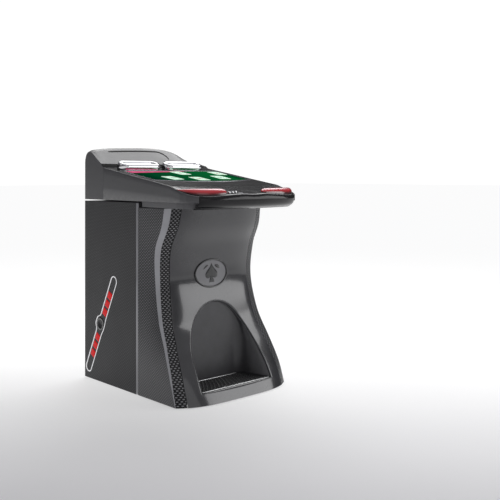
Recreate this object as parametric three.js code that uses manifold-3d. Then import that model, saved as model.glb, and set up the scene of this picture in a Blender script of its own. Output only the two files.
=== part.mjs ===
// Slant-top video card-game terminal on a two-module floor cabinet.
// Millimetres, +Z up, front towards -Y. The origin is on the floor, under the middle of the object.
import * as THREE from 'three';
import { mergeVertices } from 'three/addons/utils/BufferGeometryUtils.js';
import Module from 'manifold-3d';

const wasm = await Module();
wasm.setup();

// ---- Driving dimensions ----------------------------------------------------------------------

const overallWidth = 563;
const overallDepth = 768;
const cabinetTop = 752;
const bodyBottom = 4;
const rearModuleDepth = 392;
const moduleSeam = 3;
const panelThickness = 8;
const sheetThickness = 3;
const fitGap = 0.4;
const touchGap = 0.3;
const rearRecess = 10;
const floorThickness = 5;

// Front module.
const consoleClearance = 3;
const carbonBandWidth = 37;
const kneeWall = 6;
const cutReach = 200;
const kneeProud = 2;
const cheekWall = 9;
const archHalfWidth = 178;
const archBase = 46;
const archApex = 352;
const nicheBackHalfWidth = 136;
const nicheBackSetback = 119;
const linerWall = 3;
const grilleThickness = 4;
const badgeHeight = 466;
const badgeHalfWidth = 86;

// Console.
const lidGap = 6;
const panDrop = 16;
const consoleWall = 6;
const deckSlope = THREE.MathUtils.degToRad(8.9);
const deckBreakRise = 62;
const deckBreakSetback = 169;
const deckThickness = 4;
const humpDepth = 144;
const humpWall = 5;
const glassThickness = 4;
const glassMargin = 13;
const bezelWidth = 200;
const bezelDepth = 64;
const bezelFrontHeight = 24;
const bezelRearHeight = 33;
const buttonRadius = 5;
const buttonTravel = 3;

// Rear panel.
const doorWidth = 390;
const doorHeight = 375;
const doorTopMargin = 47;
const drawerWidth = 224;
const drawerHeight = 115;
const drawerSill = 95;
const drawerLength = 300;
const barrelRadius = 4;
const pinRadius = 2;
const pinClearance = 0.15;
const lockRadius = 8;

// ---- Derived datums --------------------------------------------------------------------------

const halfWidth = overallWidth / 2;
const rearY = overallDepth / 2;
const noseTipY = -overallDepth / 2;
const seamY = rearY - rearModuleDepth;
const panelFaceY = rearY - rearRecess;
const panelBackY = panelFaceY - 6;
const consoleBottom = cabinetTop + lidGap;
const panBottom = cabinetTop - panDrop;
const frontTop = panBottom - consoleClearance;
const deckBreakY = noseTipY + deckBreakSetback;
const deckBreakZ = consoleBottom + deckBreakRise;
const humpFrontY = rearY - humpDepth;
const nicheBackY = seamY - nicheBackSetback;
const innerHalfWidth = halfWidth - panelThickness;
const doorSill = cabinetTop - doorTopMargin - doorHeight;

// ---- Materials -------------------------------------------------------------------------------

function material(color, roughness, metalness) {
  return new THREE.MeshStandardMaterial({ color, roughness, metalness });
}

const carbonPaint = () => material(0x3d3f41, 0.45, 0.1);
const greyMoulding = () => material(0x5c5e60, 0.35, 0.1);
const gunmetal = () => material(0x606264, 0.2, 0.3);
const steel = () => material(0x8e9194, 0.4, 0.9);
const blackPlastic = () => material(0x141516, 0.35, 0);
const chrome = () => material(0xe4e6e8, 0.08, 1);
const redLens = () => material(0xc01420, 0.25, 0);
const rubber = () => material(0x1b1b1c, 0.9, 0);

// ---- Helpers ---------------------------------------------------------------------------------

// Smooth curve through [position, value] points, read at any position.
function profile(points) {
  const slopes = points.map((point, i) => {
    const before = points[Math.max(i - 1, 0)];
    const after = points[Math.min(i + 1, points.length - 1)];
    return (after[1] - before[1]) / (after[0] - before[0]);
  });
  return (position) => {
    const last = points.length - 1;
    if (position <= points[0][0]) return points[0][1];
    if (position >= points[last][0]) return points[last][1];
    const i = points.findIndex((point) => point[0] > position) - 1;
    const span = points[i + 1][0] - points[i][0];
    const t = (position - points[i][0]) / span;
    const rise = points[i + 1][1] - points[i][1];
    const cubic = (slopes[i] + slopes[i + 1]) * span - 2 * rise;
    const square = 3 * rise - (2 * slopes[i] + slopes[i + 1]) * span;
    return points[i][1] + t * (slopes[i] * span + t * (square + t * cubic));
  };
}

// Evenly spaced numbers from first to last.
function steps(first, last, count) {
  return Array.from({ length: count + 1 }, (unused, i) => first + ((last - first) * i) / count);
}

function signedVolume(geometry) {
  const p = geometry.getAttribute('position');
  const index = geometry.getIndex();
  const corners = [new THREE.Vector3(), new THREE.Vector3(), new THREE.Vector3()];
  let total = 0;
  for (let i = 0; i < index.count; i += 3) {
    corners.forEach((corner, k) => corner.fromBufferAttribute(p, index.getX(i + k)));
    total += corners[0].dot(corners[1].clone().cross(corners[2])) / 6;
  }
  return total;
}

// Closed three.js geometry as a manifold solid with its faces pointing out.
function solid(geometry) {
  const bare = geometry.clone();
  bare.deleteAttribute('normal');
  bare.deleteAttribute('uv');
  const merged = mergeVertices(bare, 1e-4);
  const index = Array.from(merged.getIndex().array);
  if (signedVolume(merged) < 0) index.reverse();
  return new wasm.Manifold(new wasm.Mesh({
    numProp: 3,
    vertProperties: new Float32Array(merged.getAttribute('position').array),
    triVerts: new Uint32Array(index),
  }));
}

function geometryOf(body) {
  const mesh = body.getMesh();
  const geometry = new THREE.BufferGeometry();
  geometry.setAttribute('position', new THREE.BufferAttribute(new Float32Array(mesh.vertProperties), 3));
  geometry.setIndex(new THREE.BufferAttribute(new Uint32Array(mesh.triVerts), 1));
  geometry.computeVertexNormals();
  return geometry;
}

// Solid through a row of matching rings of [x, y, z] points, capped at both ends.
function loft(rings) {
  const count = rings[0].length;
  const index = [];
  for (let level = 0; level < rings.length - 1; level += 1) {
    for (let i = 0; i < count; i += 1) {
      const a = level * count + i;
      const b = level * count + ((i + 1) % count);
      index.push(a, b, b + count, a, b + count, a + count);
    }
  }
  const spread = (ring, axis) => {
    const values = ring.map((point) => point[axis]);
    return Math.max(...values) - Math.min(...values);
  };
  const cap = (ring, start) => {
    const flat = [0, 1, 2].sort((a, b) => spread(ring, b) - spread(ring, a)).slice(0, 2);
    const outline = ring.map((point) => new THREE.Vector2(point[flat[0]], point[flat[1]]));
    return THREE.ShapeUtils.triangulateShape(outline, []).map((face) => face.map((k) => k + start));
  };
  const edgeKeys = new Set();
  for (let i = 0; i < index.length; i += 3) {
    [[0, 1], [1, 2], [2, 0]].forEach(([a, b]) => edgeKeys.add(`${index[i + a]}_${index[i + b]}`));
  }
  [[rings[0], 0], [rings.at(-1), (rings.length - 1) * count]].forEach(([ring, start]) => {
    const faces = cap(ring, start);
    const clashes = faces.some((f) => [[0, 1], [1, 2], [2, 0]].some(
      ([a, b]) => edgeKeys.has(`${f[a]}_${f[b]}`),
    ));
    faces.forEach((face) => index.push(...(clashes ? face.reverse() : face)));
  });
  const geometry = new THREE.BufferGeometry();
  geometry.setAttribute('position', new THREE.Float32BufferAttribute(rings.flat(2), 3));
  geometry.setIndex(index);
  return solid(geometry);
}

function outlineShape(points) {
  return new THREE.Shape(points.map(([x, y]) => new THREE.Vector2(x, y)));
}

// Plate with an XY outline between two heights.
function plate(points, bottom, top, segments = 16) {
  const shape = points instanceof THREE.Shape ? points : outlineShape(points);
  const geometry = new THREE.ExtrudeGeometry(shape, {
    depth: top - bottom, bevelEnabled: false, curveSegments: segments,
  });
  return solid(geometry.translate(0, 0, bottom));
}

// Prism with a YZ outline between two X stations.
function wallAcross(points, left, right) {
  const geometry = new THREE.ExtrudeGeometry(outlineShape(points), {
    depth: right - left, bevelEnabled: false,
  });
  geometry.rotateX(Math.PI / 2).rotateZ(Math.PI / 2);
  return solid(geometry.translate(left, 0, 0));
}

// Prism with an XZ outline between two Y stations.
function prismAlong(points, front, rear, segments = 16) {
  const shape = points instanceof THREE.Shape ? points : outlineShape(points);
  const geometry = new THREE.ExtrudeGeometry(shape, {
    depth: rear - front, bevelEnabled: false, curveSegments: segments,
  });
  return solid(geometry.rotateX(Math.PI / 2).translate(0, rear, 0));
}

function box(x0, x1, y0, y1, z0, z1) {
  const geometry = new THREE.BoxGeometry(x1 - x0, y1 - y0, z1 - z0);
  return solid(geometry.translate((x0 + x1) / 2, (y0 + y1) / 2, (z0 + z1) / 2));
}

// Round bar along 'x', 'y' or 'z' between two stations; across is its centre on the other two axes.
function bar(axis, radius, from, to, across, sides = 20) {
  const geometry = new THREE.CylinderGeometry(radius, radius, to - from, sides);
  if (axis === 'x') geometry.rotateZ(Math.PI / 2).translate((from + to) / 2, across[0], across[1]);
  if (axis === 'y') geometry.translate(across[0], (from + to) / 2, across[1]);
  if (axis === 'z') geometry.rotateX(Math.PI / 2).translate(across[0], across[1], (from + to) / 2);
  return solid(geometry);
}

function joined(bodies) {
  return bodies.reduce((whole, body) => whole.add(body));
}

function mirrored(body) {
  return body.mirror([1, 0, 0]);
}

const group = new THREE.Group();

function place(name, body, look, parent = group) {
  const mesh = new THREE.Mesh(geometryOf(body), look);
  mesh.name = name;
  parent.add(mesh);
  return mesh;
}

// ---- Rear module -----------------------------------------------------------------------------

const floorTop = bodyBottom + floorThickness;
const seamBevel = 12;
const topFrameThickness = 6;
const topFrameBorder = 50;
const insideHalfWidth = innerHalfWidth - fitGap;

// Slanted inlay on each side wall: a long capsule with a round swelling at its middle.
const inlayTop = { y: rearY - 222, z: 428 };
const inlayFoot = { y: rearY - 32, z: 52 };
const inlayHalfWidth = 23;
const inlayBossRadius = 34;
const inlayBossShift = 7;
const inlayDepth = 3.5;
const inlayProud = 0.8;
const inlayRimWidth = 7;
const inlayHalfLength = Math.hypot(inlayTop.y - inlayFoot.y, inlayTop.z - inlayFoot.z) / 2;

// Solid of the inlay's outline, in its own frame: Y runs up its length and Z into the wall.
function inlaySlab(growth, bottom, top) {
  const r = inlayHalfWidth + growth;
  const capsule = new THREE.Shape();
  capsule.absarc(0, inlayHalfLength, r, 0, Math.PI, false);
  capsule.absarc(0, -inlayHalfLength, r, Math.PI, 2 * Math.PI, false);
  const swelling = bar('z', inlayBossRadius + growth, bottom, top, [inlayBossShift, 0], 28);
  return plate(capsule, bottom, top, 8).add(swelling);
}

// Carries a solid from the inlay's frame onto the left side wall.
function ontoLeftWall(body) {
  const lean = Math.atan2(inlayFoot.y - inlayTop.y, inlayTop.z - inlayFoot.z);
  const basis = new THREE.Matrix4().makeBasis(
    new THREE.Vector3(0, Math.cos(lean), Math.sin(lean)),
    new THREE.Vector3(0, -Math.sin(lean), Math.cos(lean)),
    new THREE.Vector3(1, 0, 0),
  );
  basis.setPosition(-halfWidth, (inlayTop.y + inlayFoot.y) / 2, (inlayTop.z + inlayFoot.z) / 2);
  return solid(geometryOf(body).applyMatrix4(basis));
}

function placeBothSides(name, leftBody, look) {
  place(`left_${name}`, leftBody, look());
  place(`right_${name}`, mirrored(leftBody), look());
}

function buildSideWalls() {
  const outline = [
    [-halfWidth, seamY + seamBevel], [-halfWidth + seamBevel / 2, seamY],
    [-innerHalfWidth, seamY], [-innerHalfWidth, rearY], [-halfWidth, rearY],
  ];
  const pocket = ontoLeftWall(inlaySlab(0, -2, inlayDepth));
  placeBothSides('rear_side', plate(outline, bodyBottom, cabinetTop).subtract(pocket), carbonPaint);
}

function buildInlays() {
  const seat = inlayDepth - fitGap;
  const spineTop = seat - 1.2;
  const rim = inlaySlab(-fitGap, -inlayProud, seat).subtract(inlaySlab(-inlayRimWidth, -2, inlayDepth));
  const centre = [inlayBossShift, 0];
  const bossRadius = inlayBossRadius - inlayRimWidth - fitGap;
  const boss = bar('z', bossRadius, 0.2, spineTop - touchGap, centre, 28)
    .subtract(bar('z', bossRadius - 9, -1, spineTop - 1, centre, 28));
  const lensSide = 2 * (inlayHalfWidth - inlayRimWidth) - 4;
  const lensPitch = lensSide + 12;
  const lensStart = inlayBossRadius + lensSide;
  const middles = [0, 1, 2].flatMap((i) => [lensStart + i * lensPitch, -lensStart - i * lensPitch]);
  const lenses = middles.map((y) => (
    box(-lensSide / 2, lensSide / 2, y - lensSide / 2, y + lensSide / 2, 0.4, seat)
  ));
  const spine = box(-2, 2, Math.min(...middles), Math.max(...middles), spineTop, seat);
  placeBothSides('inlay_lenses', ontoLeftWall(joined([spine, ...lenses])), redLens);
  placeBothSides('inlay_rim', ontoLeftWall(rim), () => material(0xf2f2f2, 0.35, 0));
  placeBothSides('inlay_boss', ontoLeftWall(boss), blackPlastic);
}

// Levelling foot: pad, threaded stem through the floor plate, and its lock nut.
const footInset = 42;
const rearFootY = rearY - 44;
const frontFootY = seamY - 190;
const stemRadius = 5;

function buildFeet() {
  const padTop = bodyBottom - touchGap;
  const outline = [
    [0, 0], [21, 0], [21, 4], [14, padTop], [stemRadius, padTop], [stemRadius, floorTop + touchGap],
    [9, floorTop + touchGap], [9, floorTop + 6], [stemRadius, floorTop + 6], [stemRadius, floorTop + 16],
    [0, floorTop + 16],
  ].map(([r, z]) => new THREE.Vector2(r, z));
  const foot = solid(new THREE.LatheGeometry(outline, 16).rotateX(Math.PI / 2));
  [['rear', rearFootY], ['front', frontFootY]].forEach(([row, y]) => {
    [['left', -1], ['right', 1]].forEach(([side, sign]) => {
      place(`${row}_${side}_foot`, foot.translate([sign * (halfWidth - footInset), y, 0]), rubber());
    });
  });
}

function footHoles(y) {
  return joined([-1, 1].map((sign) => (
    bar('z', stemRadius + fitGap, bodyBottom - 1, floorTop + 1, [sign * (halfWidth - footInset), y], 16)
  )));
}

// Opening in the rear panel for the inlet module.
const inletX = innerHalfWidth - 52;
const inletZ = 84;
const inletHalfWidth = 16;
const inletHalfHeight = 31;

function buildRearStructure() {
  const floor = box(-insideHalfWidth, insideHalfWidth, seamY, panelBackY - fitGap, bodyBottom, floorTop);
  place('rear_floor', floor.subtract(footHoles(rearFootY)), steel());

  const frameBottom = cabinetTop - topFrameThickness;
  const opening = box(
    -insideHalfWidth + topFrameBorder, insideHalfWidth - topFrameBorder,
    seamY + topFrameBorder, panelBackY - topFrameBorder, frameBottom - 1, cabinetTop + 1,
  );
  const frame = box(-insideHalfWidth, insideHalfWidth, seamY, panelBackY - fitGap, frameBottom, cabinetTop);
  place('rear_top_frame', frame.subtract(opening), steel());

  const divider = box(
    -insideHalfWidth, insideHalfWidth, seamY, seamY + sheetThickness,
    floorTop + fitGap, frameBottom - fitGap,
  );
  place('module_divider', divider, steel());

  const panel = box(-insideHalfWidth, insideHalfWidth, panelBackY, panelFaceY, bodyBottom, cabinetTop);
  const cut = (x0, x1, z0, z1) => box(x0, x1, panelBackY - 5, panelFaceY + 5, z0, z1);
  const doorway = cut(-doorWidth / 2, doorWidth / 2, doorSill, doorSill + doorHeight);
  const drawerWay = cut(-drawerWidth / 2, drawerWidth / 2, drawerSill, drawerSill + drawerHeight);
  const inletWay = cut(
    inletX - inletHalfWidth, inletX + inletHalfWidth, inletZ - inletHalfHeight, inletZ + inletHalfHeight,
  );
  place('rear_panel', panel.subtract(joined([doorway, drawerWay, inletWay])), carbonPaint());
}

// ---- Rear service door -----------------------------------------------------------------------

const swingGap = 1.5;
const doorAxisX = doorWidth / 2 - swingGap / 2;
const doorAxisY = panelFaceY + barrelRadius + 0.5;
const hingeHalfLength = 20;
const knuckleHalfLength = 12;
const hingeRise = 70;
const camLength = 34;
const camThickness = 3;
const camSetback = 8;
const fanSize = 120;
const fanDepth = 25;
const fanRadius = 56;
const fanZ = doorSill + doorHeight / 2 + 30;

function hingeHeights() {
  return [['lower', doorSill + hingeRise], ['upper', doorSill + doorHeight - hingeRise]];
}

// Round key lock lying along Y: barrel, key slot, and a cam pointing along [x, z] behind the sheet.
function camLock(x, z, faceY, backY, reach, direction) {
  const barrel = bar('y', lockRadius, backY - camSetback, faceY + 4, [x, z], 20);
  const keySlot = box(x - 1, x + 1, faceY + 2, faceY + 5, z - 5, z + 5);
  const half = 5;
  const tipX = x + direction[0] * reach;
  const tipZ = z + direction[1] * reach;
  const cam = box(
    Math.min(x - half, tipX), Math.max(x + half, tipX),
    backY - camSetback, backY - camSetback + camThickness,
    Math.min(z - half, tipZ), Math.max(z + half, tipZ),
  );
  return barrel.subtract(keySlot).add(cam);
}

function buildServiceDoor() {
  const left = -doorWidth / 2 + swingGap;
  const right = doorWidth / 2 - swingGap;
  let door = box(left, right, panelBackY, panelFaceY, doorSill + swingGap, doorSill + doorHeight - swingGap);
  const slots = steps(fanZ - 45, fanZ + 45, 6).map((z) => (
    box(-48, 48, panelBackY - 1, panelFaceY + 1, z - 3, z + 3)
  ));
  const lockX = left + 22;
  const lockZ = doorSill + doorHeight / 2;
  const lockHole = bar('y', lockRadius + fitGap, panelBackY - 1, panelFaceY + 1, [lockX, lockZ], 20);
  door = door.subtract(joined([...slots, lockHole]));
  const bore = pinRadius + pinClearance;
  hingeHeights().forEach(([name, z]) => {
    const low = z - knuckleHalfLength + touchGap;
    const high = z + knuckleHalfLength - touchGap;
    const leaf = box(doorAxisX - 16, doorAxisX - 0.2, panelFaceY - 1, panelFaceY + 3, low, high);
    const knuckle = bar('z', barrelRadius, low, high, [doorAxisX, doorAxisY], 16);
    door = door.add(leaf).add(knuckle);
    door = door.subtract(bar('z', bore, low - 1, high + 1, [doorAxisX, doorAxisY], 16));

    const pin = bar('z', pinRadius, z - hingeHalfLength, z + hingeHalfLength, [doorAxisX, doorAxisY], 16);
    const ends = [-1, 1].map((side) => {
      const inner = z + side * knuckleHalfLength;
      const outer = z + side * hingeHalfLength;
      const [from, to] = side > 0 ? [inner, outer] : [outer, inner];
      const plateEnd = box(
        doorAxisX, doorAxisX + 18, panelFaceY + touchGap, panelFaceY + 3, from, to,
      );
      return bar('z', barrelRadius, from, to, [doorAxisX, doorAxisY], 16).add(plateEnd);
    });
    place(`door_hinge_${name}`, joined([pin, ...ends]), steel());
  });
  place('service_door', door, carbonPaint());
  place('door_lock', camLock(lockX, lockZ, panelFaceY, panelBackY, camLength, [0, 1]), chrome());
}

function buildFan() {
  const rear = panelBackY - touchGap;
  const front = rear - fanDepth;
  const half = fanSize / 2;
  const frame = box(-half, half, front, rear, fanZ - half, fanZ + half)
    .subtract(bar('y', fanRadius, front - 1, rear + 1, [0, fanZ], 32));
  const hub = bar('y', 18, front, front + 4, [0, fanZ], 16);
  const struts = [
    box(-fanRadius - 2, fanRadius + 2, front, front + 3, fanZ - 3, fanZ + 3),
    box(-3, 3, front, front + 3, fanZ - fanRadius - 2, fanZ + fanRadius + 2),
  ];
  place('fan_frame', joined([frame, hub, ...struts]), blackPlastic());

  const rotorFront = front + 5;
  const rotorHub = bar('y', 17, rotorFront, rear - 3, [0, fanZ], 20);
  const blades = steps(0, 2 * Math.PI, 7).slice(1).map((angle) => {
    const blade = new THREE.BoxGeometry(38, 2, 16);
    blade.rotateX(0.6).translate(34, 0, 0).rotateY(angle);
    return solid(blade.translate(0, (rotorFront + rear - 3) / 2, fanZ));
  });
  place('fan_rotor', joined([rotorHub, ...blades]), blackPlastic());
}

// ---- Cash drawer -----------------------------------------------------------------------------

const trayHalfWidth = drawerWidth / 2 - 8;
const trayBottom = drawerSill + 6;
const trayTop = drawerSill + drawerHeight - 34;
const trayWall = 2.5;
const runnerGap = 1.5;

function buildDrawer() {
  const half = drawerWidth / 2 - swingGap;
  const top = drawerSill + drawerHeight;
  const lockZ = top - 16;
  const tray = box(-trayHalfWidth, trayHalfWidth, panelBackY - drawerLength, panelBackY, trayBottom, trayTop);
  const hollow = box(
    -trayHalfWidth + trayWall, trayHalfWidth - trayWall,
    panelBackY - drawerLength + trayWall, panelBackY - 0.001, trayBottom + trayWall, trayTop + 1,
  );
  const face = box(-half, half, panelBackY, panelFaceY, drawerSill + swingGap, top - swingGap);
  const pull = box(-45, 45, panelFaceY - 1, panelFaceY + 8, drawerSill + 30, drawerSill + 33);
  const lockHole = bar('y', lockRadius + fitGap, panelBackY - 1, panelFaceY + 1, [0, lockZ], 20);
  const drawer = joined([tray.subtract(hollow), face, pull]).subtract(lockHole);
  place('cash_drawer', drawer, steel());
  place('drawer_lock', camLock(0, lockZ, panelFaceY, panelBackY, 30, [1, 0]), chrome());

  const wallX = trayHalfWidth + runnerGap;
  const runner = joined([
    box(wallX, wallX + sheetThickness, panelBackY - drawerLength - 6, panelBackY - 3,
      floorTop + touchGap, trayBottom + 40),
    box(wallX - 14, wallX + 1, panelBackY - drawerLength - 6, panelBackY - 3,
      trayBottom - touchGap - sheetThickness, trayBottom - touchGap),
  ]);
  place('drawer_runner_right', runner, steel());
  place('drawer_runner_left', mirrored(runner), steel());
}

// ---- Electrical units ------------------------------------------------------------------------

// Sheet-metal box with a thin wall and vent slots through its -Y or +Y face.
function ventedBox(x0, x1, y0, y1, z0, z1, ventsAtRear) {
  const wall = 1.5;
  const hollow = box(x0 + wall, x1 - wall, y0 + wall, y1 - wall, z0 + wall, z1 - wall);
  const [from, to] = ventsAtRear ? [y1 - 2 * wall, y1 + 1] : [y0 - 1, y0 + 2 * wall];
  const slots = steps(z0 + (z1 - z0) * 0.25, z0 + (z1 - z0) * 0.75, 3).map((z) => (
    box(x0 + (x1 - x0) * 0.2, x1 - (x1 - x0) * 0.2, from, to, z - 2.5, z + 2.5)
  ));
  return box(x0, x1, y0, y1, z0, z1).subtract(joined([hollow, ...slots]));
}

const rockerHalfHeight = 8;
const rockerY = panelFaceY - 3;
const rockerZ = inletZ + 14;

function buildElectrics() {
  const wallY = seamY + sheetThickness + touchGap;
  place('logic_box', ventedBox(-150, 150, wallY, wallY + 80, 350, 620, true), steel());
  const supplyLeft = -insideHalfWidth + 6;
  const supply = ventedBox(
    supplyLeft, supplyLeft + 130, wallY + 30, wallY + 180, floorTop + touchGap, floorTop + 90, true,
  );
  place('power_supply', supply, steel());

  const side = inletHalfWidth - fitGap;
  const rise = inletHalfHeight - fitGap;
  const body = box(inletX - side, inletX + side, panelFaceY - 30, panelFaceY + 1, inletZ - rise, inletZ + rise);
  const flange = box(
    inletX - side - 5, inletX + side + 5, panelFaceY + touchGap, panelFaceY + 2.5,
    inletZ - rise - 5, inletZ + rise + 5,
  );
  const socket = box(inletX - 12, inletX + 12, panelFaceY - 15, panelFaceY + 4, inletZ - 26, inletZ - 8);
  const pins = [[-7, -20], [7, -20], [0, -13]].map(([x, z]) => (
    box(inletX + x - 1, inletX + x + 1, panelFaceY - 16, panelFaceY - 3, inletZ + z - 2.5, inletZ + z + 2.5)
  ));
  const rockerWay = box(
    inletX - 11, inletX + 11, panelFaceY - 16, panelFaceY + 4,
    rockerZ - rockerHalfHeight - 4, rockerZ + rockerHalfHeight + 4,
  );
  const inlet = body.add(flange).subtract(socket).subtract(rockerWay).add(joined(pins));
  place('power_inlet', inlet, blackPlastic());

  const h = rockerHalfHeight;
  const rocker = wallAcross([
    [rockerY - 6, rockerZ - h + 2], [rockerY + 1, rockerZ - h], [rockerY + 1.5, rockerZ],
    [rockerY + 5, rockerZ + h], [rockerY - 6, rockerZ + h - 2],
  ], inletX - 10.4, inletX + 10.4);
  place('power_rocker', rocker, redLens());
}

// ---- Front module ----------------------------------------------------------------------------

// Front corner of the cheek at each height: inset from the full width, and reach ahead of the seam.
const frontHeight = frontTop - bodyBottom;
const heightShare = (z) => (z - bodyBottom) / frontHeight;
const cornerInset = profile([
  [0, 0], [0.09, 3], [0.2, 13], [0.33, 28], [0.47, 39], [0.61, 45], [0.79, 41], [1, 50],
]);
const cornerReach = profile([
  [0, 244], [0.12, 216], [0.26, 168], [0.4, 117], [0.6, 87], [0.78, 98], [0.9, 138], [1, 153],
]);
const bow = profile([[0, 57], [0.12, 38], [0.27, 19], [0.47, 27], [0.63, 20], [1, 28]]);
const cornerChamfer = (z) => 3 + 17 * heightShare(z);

// The front seen from above at one height: its corner, and the bowed face between the corners.
function cornerX(z) {
  return halfWidth - cornerInset(heightShare(z));
}

function faceY(x, z) {
  const across = Math.min(Math.abs(x) / cornerX(z), 1);
  return seamY - cornerReach(heightShare(z)) - bow(heightShare(z)) * (1 - across ** 4);
}

function frontLevels(bottom, top) {
  return steps(bottom, top, Math.max(4, Math.round((top - bottom) / 42)));
}

function cheekRing(z) {
  const back = seamY - moduleSeam;
  const x = cornerX(z);
  const y = faceY(x, z);
  const cut = cornerChamfer(z);
  const outerX = Math.min(x + cut, halfWidth);
  const bandMid = x - carbonBandWidth / 2;
  const bandEnd = x - carbonBandWidth;
  return [
    [halfWidth, back, z], [outerX, y + cut, z], [x, y, z],
    [bandMid, faceY(bandMid, z), z], [bandEnd, faceY(bandEnd, z), z],
    [bandEnd, faceY(bandEnd, z) + cheekWall, z], [bandMid, faceY(bandMid, z) + cheekWall, z],
    [x - cheekWall * 0.6, y + cheekWall, z], [outerX - cheekWall, y + cut + cheekWall * 0.4, z],
    [halfWidth - cheekWall, back, z],
  ];
}

// Section of the knee panel between the two carbon bands, from front to back of its face line;
// a margin carries it on past the panel's own sides, for cutting.
function kneeRing(z, front, back, margin = 0) {
  const side = cornerX(z) - carbonBandWidth - fitGap;
  const across = steps(-side, side, 12);
  const stations = margin > 0 ? [-side - margin, ...across, side + margin] : across;
  return [
    ...stations.map((x) => [x, faceY(x, z) + front, z]),
    ...stations.reverse().map((x) => [x, faceY(x, z) + back, z]),
  ];
}

// Half width of the foot arch at a height.
function archHalf(z) {
  const share = Math.min(Math.max((z - archBase) / (archApex - archBase), 0), 1);
  return Math.max(archHalfWidth * Math.sqrt(1 - share ** 2.2), 2);
}

function archLevels(bottom, apex) {
  return steps(0, 1, 12).map((t) => bottom + (apex - bottom) * Math.sin((t * Math.PI) / 2));
}

// Solid that fills the niche, grown by a wall all round; it tapers towards its back wall.
function nicheFill(grow, bottom) {
  const levels = [bottom, ...archLevels(archBase, archApex)];
  const rings = levels.map((z) => {
    const half = archHalf(z);
    const backHalf = Math.min(half, nicheBackHalfWidth);
    const mouthY = faceY(half, Math.max(z, archBase));
    const flare = (half - backHalf) / (nicheBackY - mouthY);
    const startY = mouthY - 60;
    const startHalf = half + flare * 60;
    const back = nicheBackY + grow;
    const level = z > archBase ? z + grow * ((z - archBase) / (archApex - archBase)) : z;
    return [
      [-startHalf - grow, startY, level], [startHalf + grow, startY, level],
      [backHalf + grow, back, level], [-backHalf - grow, back, level],
    ];
  });
  return loft(rings);
}

function buildFrontModule() {
  const cheek = loft(frontLevels(bodyBottom, frontTop).map(cheekRing));
  place('right_front_cheek', cheek, carbonPaint());
  place('left_front_cheek', mirrored(cheek), carbonPaint());

  const backFace = kneeWall - kneeProud;
  const levels = frontLevels(bodyBottom, frontTop);
  const outline = archLevels(archBase, archApex).map((z) => [archHalf(z), z]);
  const archway = prismAlong([
    ...outline, ...outline.slice().reverse().map(([x, z]) => [-x, z]),
  ], noseTipY, seamY);
  const knee = loft(levels.map((z) => kneeRing(z, -kneeProud, backFace))).subtract(archway);
  place('knee_panel', knee, gunmetal());

  const ahead = loft(levels.map((z) => kneeRing(z, -cutReach, backFace + touchGap, halfWidth)));
  const linerBottom = archBase - 14;
  const liner = nicheFill(linerWall, linerBottom)
    .subtract(nicheFill(0, linerBottom - 1))
    .subtract(ahead);
  place('niche_liner', liner, blackPlastic());
  buildFootRest(backFace);

  const floorHalf = halfWidth - cheekWall - 3;
  const floorFront = faceY(halfWidth, bodyBottom) + cheekWall + 2;
  const floor = box(-floorHalf, floorHalf, floorFront, seamY - moduleSeam, bodyBottom, floorTop);
  place('front_floor', floor.subtract(footHoles(frontFootY)), steel());
  buildFrontTopFrame();
}

function buildFootRest(backFace) {
  const frontY = faceY(archHalfWidth, archBase) + backFace + 1;
  const rearEdgeY = nicheBackY - 1;
  const mouthY = faceY(archHalfWidth, archBase);
  const flare = (archHalfWidth - nicheBackHalfWidth) / (nicheBackY - mouthY);
  const halfAt = (y) => nicheBackHalfWidth + flare * (nicheBackY - y) - 1;
  const outline = (inset) => [
    [-halfAt(frontY) + inset, frontY + inset], [halfAt(frontY) - inset, frontY + inset],
    [halfAt(rearEdgeY) - inset, rearEdgeY - inset], [-halfAt(rearEdgeY) + inset, rearEdgeY - inset],
  ];
  const grilleBottom = archBase - grilleThickness;
  const holes = [];
  steps(frontY + 20, rearEdgeY - 20, 3).forEach((y) => {
    steps(-halfAt(y) + 24, halfAt(y) - 24, 8).forEach((x) => {
      holes.push(box(x - 7, x + 7, y - 7, y + 7, grilleBottom - 1, archBase + 1));
    });
  });
  place('foot_grille', plate(outline(0), grilleBottom, archBase).subtract(joined(holes)), blackPlastic());

  const trayTopZ = grilleBottom - touchGap;
  const tray = plate(outline(0), archBase - 18, trayTopZ).subtract(plate(outline(2), archBase - 16, archBase));
  place('foot_tray', tray, blackPlastic());
}

function buildFrontTopFrame() {
  const back = seamY - moduleSeam;
  const bottom = frontTop - 5;
  const ring = cheekRing(bottom);
  const [innerX, innerY] = ring[8];
  const half = halfWidth - cheekWall - 1;
  const outline = [[-half, back], [half, back], [innerX - 1, innerY], [-innerX + 1, innerY]];
  const opening = box(-innerX + 40, innerX - 40, innerY + 30, back - 30, bottom - 1, frontTop + 1);
  place('front_top_frame', plate(outline, bottom, frontTop).subtract(opening), steel());
}

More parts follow.
